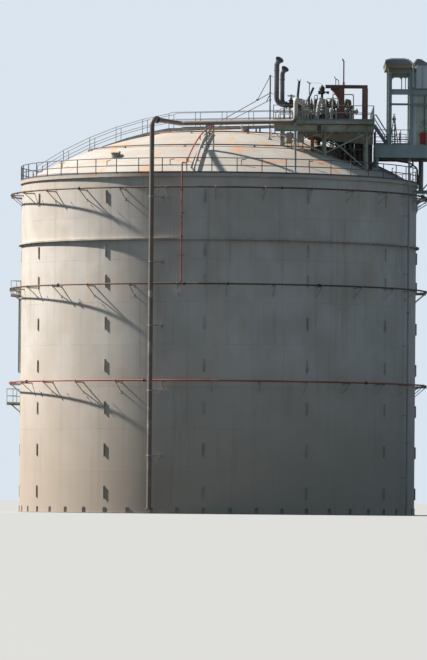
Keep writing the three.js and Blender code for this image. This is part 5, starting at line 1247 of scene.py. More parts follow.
# %% [markdown]
# ## Turned parts of any direction
# Valves, caps and drums are turned shapes that point every way. The next helper turns a profile round
# any axis, and a second one bends a bar in a ring for handwheels. From those two come whole valves.

# %% Lathe, ring and valve
def axes(place, way):
    place, way = Vector(place), Vector(way).normalized()
    side = way.orthogonal().normalized()
    return place, way, side, way.cross(side)


def lathe(profile, place, way=UP, sides=16, size=1.0):
    """A profile of (radius, distance) pairs, turned round the axis that leaves a place."""
    place, way, side, lift = axes(place, way)
    points = [place + way * distance * size + side * a + lift * b
              for radius, distance in profile for a, b in circle(radius * size, sides)]
    return points, skin(len(profile), sides)


def collar(radius, low, high, place, way=UP, sides=16):
    return lathe([(radius, low), (radius, high)], place, way, sides)


def ring(place, way, radius, size, sides=6, steps=20):
    """A round bar bent in a full circle round an axis."""
    place, way, side, lift = axes(place, way)
    points = [place + side * a * (radius + out) + lift * b * (radius + out) + way * up
              for a, b in circle(1.0, steps) for out, up in circle(size, sides)]
    return points, skin(steps, sides, joined=True)


def valve(place, way, size, stem=UP):
    """A flanged gate valve for a pipe of a given radius: body, bonnet, yoke and handwheel."""
    body = [(1.0, -1.7), (1.0, -0.9), (1.3, -0.5), (1.4, 0.0), (1.3, 0.5), (1.0, 0.9), (1.0, 1.7)]
    bonnet = [(0.9, 0.5), (0.9, 1.7), (1.25, 1.7), (1.25, 1.95), (0.7, 2.05), (0.45, 2.9), (0.45, 3.2),
              (0.14, 3.2),
              (0.14, 4.6)]
    shapes = [lathe(body, place, way, size=size)]
    shapes += [lathe([(1.55, end), (1.55, end + 0.3)], place, way, 20, size) for end in (-1.9, 1.6)]
    shapes.append(lathe(bonnet, place, stem, 12, size))
    place, stem, side, _ = axes(place, stem)
    hub, wheel = place + stem * 3.9 * size, 1.5 * size
    shapes += [ring(hub, stem, wheel, wheel * 0.08),
               bar(hub - stem * 0.03, hub + stem * 0.03, wheel * 0.18, 10)]
    spokes = [Matrix.Rotation(math.tau * i / 4, 3, stem) @ side for i in range(4)]
    return shapes + [bar(hub, hub + spoke * wheel, wheel * 0.06, 6) for spoke in spokes]


print("a valve is made of", len(valve((0, 0, 0), (1, 0, 0), 0.1)), "shapes")

# %% [markdown]
# ## Vent stacks and their mast
# Two vent pipes come in level from the valves, turn up, and end in elbows cut open at an angle. A cut
# mouth flares out and folds in again, so it is turned from a profile with an outside and an inside.

# %% Elbows, flared mouths and stacks
MOUTH_WAY = Vector((0.19, -0.27, 0.3))
FLARE = [(1.06, 0.0), (1.1, 0.08), (1.72, 0.25), (1.72, 0.28), (1.64, 0.28), (0.98, 0.09)]
STACK_Z = 29.43


def vent_stack(x, y, radius, top, bend, inlet):
    corner = Vector((x, y, top - 0.52))
    neck, mouth = corner - UP * 0.45, corner + MOUTH_WAY
    shapes = [line([(inlet, y, STACK_Z), (x, y, STACK_Z), neck], radius, bend, 24, 10),
              line([neck, corner, mouth - MOUTH_WAY * 0.25], radius * 1.04, 1.6 * radius, 24, 6),
              lathe([(radius * part, lift) for part, lift in FLARE], mouth - MOUTH_WAY.normalized() * 0.25,
                    MOUTH_WAY, 28),
              collar(radius * 1.16, -0.03, 0.03, neck, UP, 24)]
    shapes += [collar(radius + 0.01, 0, 0.02, (x, y, z), UP, 24) for z in (30.3, 31.2)]
    return shapes + [block(x + 0.56, y, 0.06, 0.06, DECK_TOP, STACK_Z - radius + 0.05),
                     block(x + 0.56, y, 0.13, 0.13, DECK_TOP, DECK_TOP + 0.02)]


make("vent_pipe_tall", vent_stack(4.05, -7.55, 0.18, 32.87, 0.55, 4.78), STACK_GREY, "vent_stack_tall",
     smooth=50)
make("vent_pipe_short", vent_stack(4.46, -7.05, 0.165, 32.25, 0.45, 5.08), STACK_GREY, "vent_stack_short",
     smooth=50)
stack_valves = valve((5.1, -7.55, STACK_Z), (1, 0, 0), 0.17, (0, -0.25, 1)) + valve((5.4, -7.05, STACK_Z),
                                                                                    (1, 0, 0), 0.15)
stack_valves += [bar((4.8, -7.55, STACK_Z), (5.72, -7.55, STACK_Z), 0.15, 16),
                 line([(5.7, -7.55, STACK_Z), (5.95, -7.55, STACK_Z), (5.95, -7.55, DECK_TOP)], 0.11, 0.16,
                      16, 8),
                 line([(5.08, -7.05, STACK_Z), (5.9, -7.05, STACK_Z), (5.9, -6.5, 29.1)], 0.1, 0.16, 16, 8)]
make("stack_valves", stack_valves, VALVE_DARK)
flanges("stack_flanges", [((x, y, STACK_Z), (1, 0, 0), size)
                          for x, y, size in ((4.75, -7.55, 0.24), (5.04, -7.05, 0.21), (5.56, -7.55, 0.24))],
        VALVE_DARK, bolts=10, thickness=0.25)
print("vent stacks: 2")

# %% Mast, braces and links to the tall stack
MAST = (3.6, -6.45)
mast_foot = dome_at(*MAST) - 0.1
shapes = [post(*MAST, mast_foot, 31.64, 0.05, 12), block(*MAST, 0.14, 0.14, mast_foot, mast_foot + 0.14)]
for z, end, size in ((31.58, (2.7, -5.65, 29.9), 0.026), (31.6, (4.02, -7.4, 31.35), 0.022),
                     (30.35, (4.02, -7.4, 30.15), 0.022), (30.25, (3.32, -6.2, 29.72), 0.03),
                     (30.35, (-1.2, -2.2, dome_at(-1.2, -2.2) - 0.03), 0.035),
                     (29.85, (-0.7, -2.9, dome_at(-0.7, -2.9) - 0.03), 0.03)):
    shapes.append(bar((*MAST, z), end, size))
shapes += [block(x, y, 0.12, 0.12, dome_at(x, y) - 0.06, dome_at(x, y) + 0.02)
           for x, y in ((-1.2, -2.2), (-0.7, -2.9))]
shapes += [post(*MAST, z - 0.06, z + 0.06, 0.075, 12) for z in (31.58, 30.35, 29.85)]
shapes.append(box(2.62, 2.78, -5.73, -5.57, 29.84, 29.96))
make("mast_and_braces", shapes, MAST_DARK, "guyed_mast")
print("mast height over the dome", round(31.65 - mast_foot, 1), "m")

# %% [markdown]
# ## The valve manifold
# The manifold is one header on stands, joined from flanged lengths, with relief valves on top, a row of
# gate valves beside it, and branch lines that dive through the deck. It reads as a thicket of pipes, so
# several small-bore lines, a sample bottle and a drum-shaped actuator go with it.

# %% Header, stands and relief valves
HEADER_Y, HEADER_Z, HEADER_PIPE = -6.5, 29.05, 0.15
HEADER_ENDS = (5.36, 9.86)


def header_at(x, z=HEADER_Z):
    return Vector((x, HEADER_Y, z))


shapes = [bar(*map(header_at, HEADER_ENDS), HEADER_PIPE, 24)]
shapes += [lathe([(0.15, 0.0), (0.14, 0.05), (0.1, 0.09), (0.02, 0.11)], header_at(x), (end, 0, 0), 20)
           for x, end in zip(HEADER_ENDS, (-1, 1))]
for x in (5.7, 7.7, 9.5):
    shapes += [h_beam(header_at(x, DECK_TOP), header_at(x, HEADER_Z - 0.13), 0.14, 0.14, 0.012),
               block(x, HEADER_Y, 0.17, 0.17, DECK_TOP, DECK_TOP + 0.02),
               bar(header_at(x - 0.06), header_at(x + 0.06), HEADER_PIPE + 0.012, 24)]
make("manifold_header", shapes, PIPE_GREY, "valve_manifold", smooth=45)
header_joints = [x + gap for x in (6.0, 7.0, 8.3, 9.1) for gap in (-0.03, 0.03)] + [5.38, 9.84]
flanges("manifold_flanges", [(header_at(x), (1, 0, 0), 0.235) for x in header_joints], PIPE_GREY, 12, 0.2)


def open_pipe(start, end, radius, wall, sides):
    """A straight pipe with a bore, open at its end and closed at its start."""
    outer, inner = tube([start, end], radius, sides)[0], tube([start, end], radius - wall, sides)[0]
    count, faces = 2 * sides, [tuple(range(sides - 1, -1, -1)), tuple(range(2 * sides, 3 * sides))]
    for k in range(sides):
        a, b = k, (k + 1) % sides
        faces += [(a, b, b + sides, a + sides), (count + b, count + a, count + a + sides, count + b + sides),
                  (a + sides, b + sides, count + b + sides, count + a + sides)]
    return outer + inner, faces


RELIEF = [(0.09, 0), (0.09, 0.2), (0.18, 0.22), (0.18, 0.3), (0.12, 0.32), (0.15, 0.42), (0.12, 0.52),
          (0.1, 0.55),
          (0.1, 0.78), (0.05, 0.8)]
relief = []
for x, tip_x, tip_z, tail, ears in ((5.57, 5.7, 31.36, 0.09, (-1, 1)), (6.37, 6.77, 30.88, 0.08, ())):
    crown, end = header_at(x, HEADER_Z + 0.9), header_at(tip_x, tip_z)
    along = (end - crown).normalized()
    relief += [lathe(RELIEF, header_at(x, HEADER_Z + 0.12), UP, 20),
               open_pipe(crown - along * 0.15, end - along * 0.12, tail, 0.014, 20),
               collar(tail + 0.035, 0, 0.04, crown + along * 0.06, along, 20)]
    for side in ears:
        ear = end - along * 0.15 + Vector((side * 0.07, 0, 0))
        relief.append(beam(ear, ear + Vector((side * 0.05, 0, 0.14)), 0.05, 0.04))
make("relief_valves", relief, VALVE_DARK, smooth=45)
print("relief valves: 2")

# %% Gate valves and the valve bank
ALONG_Y = (0, 1, 0)
GATE_VALVES = (((6.0, -7.2, 28.95), ALONG_Y, 0.1, (0.2, 0, 1)), ((6.55, -7.0, 29.35), UP, 0.11, (0, -1, 0.1)),
               ((7.75, -6.9, 29.2), ALONG_Y, 0.12, (0.1, 0, 1)),
               ((8.35, -7.0, 29.15), ALONG_Y, 0.1, (-0.1, -0.2, 1)),
               ((6.35, -5.6, 29.05), ALONG_Y, 0.14), ((7.9, -5.6, 29.0), ALONG_Y, 0.13),
               ((9.0, -5.7, 29.0), ALONG_Y, 0.13, (0.3, 0, 1)), ((9.35, -7.1, 29.0), ALONG_Y, 0.1))
make("gate_valves", [shape for row in GATE_VALVES for shape in valve(*row)], VALVE_DARK, smooth=45)
bank = valve((5.75, -5.0, 29.15), UP, 0.14, (0, -1, 0.15)) + [
    post(5.75, -5.0, DECK_TOP, 29.85, 0.12, 16), post(5.75, -5.0, 29.55, 29.62, 0.21, 20),
    line([(5.75, -5.0, 29.7), (5.75, -5.0, 29.95), (6.03, -3.9, 29.95), (6.03, -3.9, DECK_TOP)], 0.13, 0.14,
         16)]
copies_in_row("valve_bank", bank, DARK_STEEL, 7, (0.56, 0.0, 0.0), smooth=45)
mains = [bar((5.6, -4.45, z), (9.7, -4.45, z), 0.17, 20) for z in (28.75, 29.45)]
make("valve_bank_mains", mains, DARK_STEEL)

# %% Branches and small pipes
# Each branch leaves the header level at a height, runs to a y and drops to the deck.
BRANCHES = ((6.0, -6.55, 28.95, -7.75, 0.07), (6.55, -6.5, 29.9, -7.0, 0.08), (7.75, -6.55, 29.2, -7.6, 0.085),
            (8.35, -6.55, 29.15, -7.7, 0.07), (9.35, -6.55, 29.0, -7.7, 0.07),
            (6.35, -6.45, 29.05, -4.2, 0.1, 0.2),
            (7.9, -6.45, 29.0, -3.6, 0.095, 0.2), (9.0, -6.45, 29.0, -2.9, 0.095, 0.2))
branches = [line([(x, y0, z), (x, y1, z), (x, y1, DECK_TOP)], *size) for x, y0, z, y1, *size in BRANCHES]
make("manifold_branches", branches, PIPE_GREY, smooth=45)
# Each loop stands on the deck, rises, crosses in x, and comes down to an end height.
LOOPS = ((5.9, 6.3, -7.9, 29.75, DECK_TOP, 0.035, 0.08), (7.6, 8.5, -7.7, 29.9, 29.2, 0.035, 0.1),
         (8.1, 9.6, -6.3, 30.3, DECK_TOP, 0.045, 0.12), (4.2, 5.3, -7.9, 28.75, DECK_TOP, 0.04, 0.08),
         (4.0, 5.2, -6.95, 29.0, DECK_TOP, 0.04, 0.08), (4.3, 5.0, -8.0, 29.12, DECK_TOP, 0.03, 0.08))
small = [line([(x0, y, DECK_TOP), (x0, y, z), (x1, y, z), (x1, y, end)], radius, bend, 8)
         for x0, x1, y, z, end, radius, bend in LOOPS]
small += [line([(6.75, -7.4, DECK_TOP), (6.75, -7.4, 30.15), (7.0, -7.4, 30.15), (7.0, -6.6, 30.15),
                (7.0, -6.6, 29.15)],
               0.04, 0.1, 8),
          line([(6.42, -6.5, 31.1), (6.42, -6.5, 31.12), (7.3, -6.9, 31.05)], 0.012, 0.01, 6),
          ring((6.35, -7.35, 29.0), (0.2, -1, 0), 0.26, 0.035, 8, 24),
          post(6.35, -7.35, DECK_TOP, 28.75, 0.035)]
make("small_pipes", small, PIPE_LIGHT, smooth=45)
levers = [line([(6.42, -6.5, 30.0), (6.42, -6.5, 31.1), (6.22, -6.5, 31.2)], 0.03, 0.05, 8),
          beam((6.3, -6.5, 31.14), (6.55, -6.5, 31.02), 0.05), post(8.0, -7.75, DECK_TOP, 28.45, 0.13, 14)]
make("levers", levers, VALVE_DARK)
bottle = [(0.17, 0.0), (0.17, 0.1), (0.1, 0.16), (0.1, 0.55), (0.14, 0.6), (0.14, 0.82), (0.05, 0.9)]
make("sample_bottle", [lathe(bottle, (7.98, -7.9, DECK_TOP), UP, 20)], PIPE_LIGHT)
print("valves: 10, small lines: 8")

# %% Feed arch with the actuated valve on its crown
ARCH_TOP = 29.85
ARCH = [(6.98, -7.55, DECK_TOP), (6.98, -7.55, 28.6), (7.16, -7.55, ARCH_TOP), (7.42, -6.5, ARCH_TOP),
        (7.42, -6.5, 29.15)]
shapes = [line(ARCH, 0.15, 0.33, 28, 10),
          collar(0.16, -0.008, 0.008, (7.038, -7.55, 29.0), (0.18, 0, 1.25), 28)]
make("feed_arch_pipe", shapes, PIPE_LIGHT, "feed_arch", smooth=50)
flanges("feed_arch_flanges", [((6.98, -7.55, 28.36), UP, 0.23), ((7.42, -6.5, 29.32), UP, 0.22)], PIPE_GREY,
        12, 0.25)
drum = [(0.09, 0.0), (0.09, 0.38), (0.19, 0.4), (0.2, 0.55), (0.17, 0.62), (0.2, 0.7), (0.2, 0.86),
        (0.14, 0.95),
        (0.05, 1.0), (0.05, 1.08)]
actuated = [lathe(drum, (7.33, -6.9, 29.87), UP, 24), bar((7.33, -6.9, 30.45), (7.75, -6.9, 30.38), 0.06, 12),
            collar(0.1, 0, 0.16, (7.68, -6.9, 30.39), (1, 0, -0.15), 14),
            box(7.05, 7.2, -7.02, -6.78, 30.25, 30.5)]
make("actuated_valve", actuated, VALVE_DARK, smooth=45)
print("arch top at", ARCH_TOP + 0.15, "m")

# %% [markdown]
# ## The crane gantry
# A red-brown gantry straddles the manifold: a beam on two columns, a curved plate in the corner, a
# trolley with a hook, and a davit post that ends in a small bent tip.

# %% Gantry beam, columns, corner plate and davit
GANTRY_Y = -7.45
GANTRY_COLUMNS = (8.72, 10.41)
BEAM_UNDER, BEAM_OVER = 30.66, 30.89
HALF_COLUMN = 0.21
shapes = [h_beam((7.56, GANTRY_Y, 30.775), (10.6, GANTRY_Y, 30.775), 0.18, 0.25)]
for x in GANTRY_COLUMNS:
    shapes.append(beam((x, GANTRY_Y, DECK_TOP), (x, GANTRY_Y, BEAM_UNDER), 0.2, 2 * HALF_COLUMN,
                       Vector((1, 0, 0))))
    for near in (x - (HALF_COLUMN - 0.012), x + (HALF_COLUMN - 0.012)):
        shapes.append(block(near, GANTRY_Y, 0.012, 0.12, DECK_TOP, BEAM_UNDER))
    shapes.append(block(x, GANTRY_Y, 0.3, 0.16, DECK_TOP, DECK_TOP + 0.03))
    shapes += [post(x + off_x, GANTRY_Y + off_y, DECK_TOP, DECK_TOP + 0.07, 0.016, 6)
               for off_x in (-0.25, 0.25) for off_y in (-0.12, 0.12)]
curve = [(8.52 - 0.62 * math.cos(math.radians(a)) * (1 - a / 400), BEAM_UNDER - 0.85 * (a / 90) ** 1.6)
         for a in (20, 35, 50, 62, 72, 81)]
shapes.append(upright_plate([(8.52, BEAM_UNDER), (7.9, BEAM_UNDER), *curve, (8.52, 29.8)], 0.03, GANTRY_Y))
shapes += [block(x, GANTRY_Y, 0.01, 0.085, BEAM_UNDER, BEAM_OVER) for x in (7.7, 9.6)]
shapes += [line([(8.87, GANTRY_Y, BEAM_OVER), (8.87, GANTRY_Y, 32.6), (8.76, GANTRY_Y, 32.78)], 0.05, 0.1),
           post(8.87, GANTRY_Y, BEAM_OVER, 31.1, 0.08, 12)]
make("gantry_steel", shapes, CRANE_BROWN, "crane_gantry", smooth=30)
tips = [[(8.3, 30.9), (8.3, 31.35), (8.18, 31.5)], [(8.52, 30.9), (8.52, 31.18), (8.4, 31.3), (8.3, 31.3)]]
hook = [line([(x, GANTRY_Y, z) for x, z in tip], 0.028, bend, 8) for tip, bend in zip(tips, (0.06, 0.05))]
hook += [block(8.1, GANTRY_Y, 0.15, 0.12, 30.5, BEAM_UNDER), post(8.1, GANTRY_Y, 30.0, 30.5, 0.012, 6),
         lathe([(0.03, 0), (0.07, 0.04), (0.07, 0.16), (0.03, 0.2)], (8.1, GANTRY_Y, 29.84), UP, 12),
         ring((8.1, GANTRY_Y, 29.78), ALONG_Y, 0.06, 0.016, 6, 16)]
make("gantry_hook", hook, VALVE_DARK)
print("gantry span", round(GANTRY_COLUMNS[1] - GANTRY_COLUMNS[0], 2), "m")

# %% [markdown]
# ## Under and behind the deck
# Between the deck and the dome hangs more pipework: branch lines that come through the deck, drain
# valves, a stub with a rusty flange on the dome, a cable tray, and a cabinet by the corner post.

# %% Lines, drains and stubs under the deck
# Each line starts at the deck at an x and y; its later corners and its size follow.
UNDER = (((6.0, -7.75), (6.0, -7.75, 27.2), (8.2, -7.4, 26.9), (10.9, -7.0, 26.7), (0.08, 0.2)),
         ((6.55, -7.0), (6.55, -7.0, 27.05), (9.2, -6.9, 26.95), (10.9, -6.6, 26.9), (0.1, 0.2)),
         ((7.75, -7.6), (7.75, -7.6, 27.0), (8.6, -7.6, 26.6), (8.6, -7.6, 25.7), (0.085, 0.15)),
         ((8.35, -7.7), (8.35, -7.7, 26.5), (9.0, -7.7, 26.3), (9.0, -7.7, 25.4), (0.09, 0.15)),
         ((9.35, -7.7), (9.35, -7.7, 26.4), (9.7, -7.7, 26.0), (9.7, -7.7, 25.0), (0.08, 0.12)),
         ((7.12, -7.85), (7.12, -7.85, 27.2), (7.12, -5.0, 27.2), (7.12, -5.0, 26.7), (0.15, 0.3, 16)),
         ((6.35, -4.2), (6.35, -4.2, 27.2), (10.8, -4.2, 27.0), (0.1, 0.2)),
         ((7.9, -3.6), (7.9, -3.6, 27.3), (10.8, -3.6, 27.1), (0.095, 0.2)),
         ((9.0, -2.9), (9.0, -2.9, 27.35), (10.9, -2.9, 27.2), (0.095, 0.2)))
under = [line([(*start, DECK_TOP), *corners], *size) for start, *corners, size in UNDER]
make("under_deck_lines", under, DARK_STEEL, smooth=45)
DRAINS = (((8.6, -7.6, 26.2), UP, 0.1, (0, -1, 0)), ((9.0, -7.7, 25.9), UP, 0.1, (1, -0.4, 0)),
          ((9.9, -7.3, 26.75), (1, -0.1, 0), 0.1, (0, -0.3, -1)),
          ((7.5, -6.97, 27.02), (1, 0, 0), 0.11, (0, -1, -0.3)))
make("drain_valves", [shape for row in DRAINS for shape in valve(*row)], DARK_STEEL, smooth=45)
tray = [box(8.3, 11.0, y, y + width, 27.05, top)
        for y, width, top in ((-7.5, 0.3, 27.07), (-7.52, 0.02, 27.15), (-7.2, 0.02, 27.15))]
tray += [bar((8.3, -7.46 + i * 0.05, 27.09), (11.0, -7.46 + i * 0.05, 27.09), 0.018, 6) for i in range(5)]
for x in (8.9, 9.7, 10.6):
    tray += [block(x, -7.35, 0.02, 0.17, 27.0, 27.05), block(x, -7.35, 0.02, 0.02, 27.0, 27.98)]
make("under_deck_tray", tray, DARK_STEEL)
STUB = (6.65, -7.6)
stub_z = dome_at(*STUB) + 0.62
stub = [post(*STUB, stub_z - 0.7, stub_z + 0.3, 0.13, 20),
        bar((6.2, -7.7, stub_z + 0.5), (7.35, -7.7, stub_z + 0.42), 0.1, 16),
        lathe([(0.16, 0.3), (0.19, 0.4), (0.16, 0.6), (0.05, 0.66)], (*STUB, stub_z), UP, 20)]
make("rusty_stub", stub, RUSTY, smooth=45)
flanges("rusty_flanges", [((*STUB, stub_z + 0.28), UP, 0.27), ((6.3, -7.7, stub_z + 0.49), (1, 0, -0.07), 0.2),
                          ((7.2, -7.7, stub_z + 0.43), (1, 0, -0.07), 0.2)], RUSTY, 10, 0.25)
print("lines under the deck:", len(under))

# %% Cabinet and thin lines by the front left corner
foot = dome_at(5.0, -7.95) - 0.05
low_foot = dome_at(5.9, -7.6)
shapes = [box(4.78, 5.2, -8.05, -7.8, foot + 0.3, 27.42), box(4.8, 5.18, -8.065, -8.05, foot + 0.35, 27.38),
          box(5.55, 6.05, -7.84, -7.4, 26.72, 27.47), box(5.6, 5.66, -7.6, -7.5, low_foot - 0.1, 26.8),
          box(5.94, 6.0, -7.6, -7.5, low_foot - 0.15, 26.8)]
shapes += [box(x, x + 0.04, -7.95, -7.9, foot - 0.05, foot + 0.32) for x in (4.82, 5.12)]
shapes += [box(5.57 + 0.15 * i, 5.6 + 0.15 * i, -7.86, -7.84, 26.75, 27.4) for i in range(4)]
make("junction_cabinet", shapes, BROWN_SHEET)
thin = [line([(3.7, -8.0, 27.3), (4.6, -8.0, 27.32), (4.6, -8.0, foot + 0.2)], 0.03, 0.06, 8),
        line([(3.7, -8.0, 27.12), (4.35, -8.0, 27.1), (4.35, -8.0, foot + 0.25)], 0.035, 0.06, 8),
        bar((4.3, -8.02, 27.22), (4.78, -8.02, 27.2), 0.05, 10)]
thin += [bar((3.7, -8.0, z), (3.7, -7.9, 27.6), 0.03) for z in (27.3, 27.12)]
make("corner_lines", thin, PIPE_LIGHT)
print("cabinet foot at", round(foot, 2), "m")

# %% [markdown]
# ## The shelter
# A deck hangs off the right side of the tank, carried by legs on the dome and by two bracket frames on
# the wall. Over it stand two column frames, an open bay with a latticed head, and a clad cabin. Its deep
# deck beams are the heaviest steel on the roof, so they get flanges, stiffeners and a brown underside.

# %% Deck plate, deep beams and legs
FLOOR_TOP = 26.75
BEAM_LOW = 25.8
SHELTER_LEFT, SHELTER_RIGHT = 11.2, 16.9
BEAM_FRONT, BEAM_BACK = -5.48, -0.52
LEG_X = 11.32
shapes = [box(SHELTER_LEFT, SHELTER_RIGHT, -5.6, -0.4, FLOOR_TOP - 0.03, FLOOR_TOP)]
for y in (BEAM_FRONT, -3.0, BEAM_BACK):
    shapes.append(h_beam((11.21, y, 26.26), (16.89, y, 26.26), 0.2, 0.92, 0.03))
    shapes += [block(11.4 + i * 0.48, y, 0.008, 0.09, 25.84, 26.7) for i in range(12)]
shapes += [h_beam((x, BEAM_FRONT, 26.27), (x, BEAM_BACK, 26.27), 0.2, 0.9, 0.03) for x in (LEG_X, 13.8, 16.78)]
make("shelter_deck_steel", shapes, DECK_BLUE, "shelter_deck", smooth=20)
fascia = [box(SHELTER_LEFT, SHELTER_RIGHT, -5.602, -5.585, 25.86, 26.72)]
fascia += [box(SHELTER_LEFT, SHELTER_RIGHT, -5.63, -5.585, z, z + 0.05) for z in (25.82, 26.67)]
fascia += [box(11.5 + i * 1.05, 11.53 + i * 1.05, -5.625, -5.6, 25.86, 26.7) for i in range(6)]
make("shelter_fascia", fascia, DECK_BLUE, smooth=20)
legs = [beam((LEG_X, -5.45, column_foot(LEG_X, BEAM_FRONT) + 0.3), (LEG_X, -0.55, 25.7), 0.02, 0.09)]
for y in (BEAM_FRONT, BEAM_BACK):
    foot = column_foot(LEG_X, y)
    legs += [h_beam((LEG_X, y, foot), (LEG_X, y, BEAM_LOW), 0.22, 0.22),
             block(LEG_X, y, 0.22, 0.22, foot + 0.04, foot + 0.18)]
make("shelter_legs", legs, DECK_BLUE, smooth=20)
soffit = [box(11.45, 16.7, y, y + 2.24, 25.9, 25.91) for y in (-5.36, -2.88)]
soffit += [beam((x, -5.3, 26.0), (x, -0.7, 26.0), 0.08, 0.14) for x in (12.1, 12.9, 14.6, 15.4, 16.2)]
make("shelter_soffit", soffit, BROWN_SHEET, smooth=20)
print("deck beams: 6, legs: 2")

# %% Bracket frames on the wall
for name, y in (("front", -3.0), ("back", -0.62)):
    wall_x = math.sqrt(TANK_RADIUS**2 - y**2)
    shapes = [h_beam((wall_x - 0.04, y, 23.53), (16.78, y, 23.53), 0.16, 0.14, 0.016),
              h_beam((wall_x - 0.04, y, 22.75), (16.3, y, 23.4), 0.12, 0.1, 0.014),
              beam((wall_x - 0.02, y, 22.2), (16.45, y, 23.45), 0.05, 0.06),
              box(wall_x - 0.04, wall_x + 0.03, y - 0.2, y + 0.2, 22.0, 23.6),
              beam((14.75, y, 23.65), (16.5, y, 25.72), 0.06, 0.07)]
    for i in range(5):
        x = wall_x + 0.25 + i * 0.42
        low = 22.75 + (x - wall_x) * 0.65 / (16.3 - wall_x)
        shapes += chain([(x, y, low), (x + 0.21, y, 23.48), (x + 0.42, y, low + 0.12)],
                        lambda here, there: beam(here, there, 0.05))
    for x in (14.66, 16.6):
        shapes.append(h_beam((x, y, 23.58), (x, y, BEAM_LOW), 0.18, 0.2, 0.018))
        shapes += [block(x, y, 0.14, 0.12, z, z + 0.03) for z in (23.58, BEAM_LOW - 0.03)]
    make(f"shelter_bracket_{name}_steel", shapes, DECK_BLUE, f"shelter_bracket_{name}", smooth=20)
print("brackets: 2")

# %% Column frames
COLUMNS = (12.15, 13.68, 15.35, 16.55)
COLUMN_TOP = 32.29
FRAME_LEFT, FRAME_RIGHT = 12.17, 16.78
for name, y, beams in (("front", -5.45, ((29.6, 29.75), (30.37, 30.77))), ("back", -0.55, ((32.0, 32.3),))):
    shapes = []
    for x in COLUMNS:
        shapes += [h_beam((x + 0.125, y, FLOOR_TOP), (x + 0.125, y, COLUMN_TOP), 0.2, 0.25, 0.022,
                          Vector((1, 0, 0))),
                   box(x - 0.05, x + 0.3, y - 0.16, y + 0.16, FLOOR_TOP, FLOOR_TOP + 0.025),
                   box(x + 0.02, x + 0.05, y - 0.1, y - 0.07, FLOOR_TOP, COLUMN_TOP)]
    for low, high in beams:
        z = (low + high) / 2
        shapes.append(h_beam((FRAME_LEFT, y, z), (FRAME_RIGHT, y, z), 0.16, high - low))
    make(f"shelter_frame_{name}_steel", shapes, DECK_BLUE, f"shelter_frame_{name}", smooth=20)
print("columns a frame:", len(COLUMNS))

# %% Latticed head of the open bay, its arched brackets and boards
LATTICE = 0.128
head = []
for i in range(10):
    x = 12.4 + i * LATTICE
    head += [beam((x0, -5.45, 31.62), (x1, -5.45, 31.98), 0.02, 0.035)
             for x0, x1 in ((x, x + LATTICE), (x + LATTICE, x))]
head += [box(12.4, 13.68, y, y + deep, z, top) for y, deep, z, top in (
    (-5.47, 0.04, 31.6, 31.64), (-5.47, 0.04, 31.96, 32.0), (-5.38, 0.02, 31.62, 32.0))]
head += [box(x - half, x + half, -5.5, -5.42, 30.77, 31.62) for x, half in ((13.1, 0.035), (13.37, 0.03))]
for x0, x1 in ((12.4, 13.07), (13.13, 13.34), (13.4, 13.58)):
    reach = min(0.22, (x1 - x0) / 2)
    for side, x in ((1, x0), (-1, x1)):
        curve = [(x + side * reach * (1 - math.sin(a)), 31.6 - reach * (1 - math.cos(a)))
                 for a in (math.tau / 4 * k / 5 for k in range(6))]
        head.append(upright_plate([(x, 31.62 - reach), (x, 31.62), *curve], 0.04, -5.45))
make("shelter_head_lattice", head, PLATFORM, smooth=20)
boards = [box(FRAME_LEFT, 13.95, -5.48, -5.42, z, z + 0.14) for z in (32.02, 32.17)]
boards += [h_beam((FRAME_LEFT, -5.4, 32.15), (FRAME_RIGHT, -5.4, 32.15), 0.12, 0.28)]
boards += [box(11.95, 13.85, y, y + 0.06, 32.32, 32.6) for y in (-5.66, -0.4)]
boards += [box(x, x + 0.06, -5.6, -0.4, 32.32, 32.6) for x in (11.95, 13.79)]
make("shelter_head_boards", boards, BROWN_SHEET, smooth=20)
print("lattice bars:", 20)

# %% Ribbed sheet for the cabin's walls
def ribbed_wall(start, end, low, high, pitch=0.2, depth=0.035):
    """Folded sheet between two ground points: one mesh of upright folds with a flat back."""
    start, end = Vector((*start, 0)), Vector((*end, 0))
    along = (end - start).normalized()
    out = Vector((along.y, -along.x, 0))
    length = (end - start).length
    count = max(2, round(length / pitch))
    folds = ((0.0, 0), (0.3, 0), (0.42, 1), (0.82, 1), (0.94, 0))
    ground = [start + along * (length * (i + part) / count) + out * depth * lift
              for i in range(count) for part, lift in folds]
    ground += [end, end - out * 0.012, start - out * 0.012]
    return slab([(p.x, p.y) for p in ground], low, high)


left, right, near, far = 14.15, 16.81, -5.36, -0.64
WALL_HEAD = 32.53
SHEET_LOW = FLOOR_TOP + 0.05
walls = [ribbed_wall((left, near), (right, near), 30.8, 32.2),
         ribbed_wall((left, -5.62), (right, -5.62), 30.82, WALL_HEAD),
         ribbed_wall((right, near), (right, far), SHEET_LOW, WALL_HEAD),
         ribbed_wall((right, far), (left, far), SHEET_LOW, WALL_HEAD),
         box(left, right, near, far, 32.5, WALL_HEAD),
         ribbed_wall((13.9, near - 0.01), (left + 0.02, near - 0.01), FLOOR_TOP + 0.03, 32.3, 0.12)]
walls += [box(left, left + 0.05, y, y + 0.07, FLOOR_TOP, 32.3) for y in (near - 0.02, far - 0.05)]
make("cabin_sheet", walls, CLADDING, "cabin_walls", smooth=20)
panels = [box(left, right, near, near + 0.03, FLOOR_TOP + 0.02, 30.8),
          box(left - 0.02, right + 0.02, near - 0.06, near, 30.36, 30.8),
          box(left - 0.02, right + 0.02, near - 0.08, near, 30.76, 30.82),
          box(left, 14.72, near - 0.04, near, 30.33, 30.42)]
panels += [box(left + 0.02 + i * 0.52, left + 0.07 + i * 0.52, near - 0.03, near, FLOOR_TOP + 0.02, 30.36)
           for i in range(6)]
panels += [box(left, right, near - 0.02, near, z, z + 0.05) for z in (27.85, 29.2)]
make("cabin_panels", panels, PANEL_GREEN, smooth=20)
trims = [box(x, x + 0.06, -5.7, -5.62, 30.84, 32.5) for x in (14.56, 15.4, 16.3)]
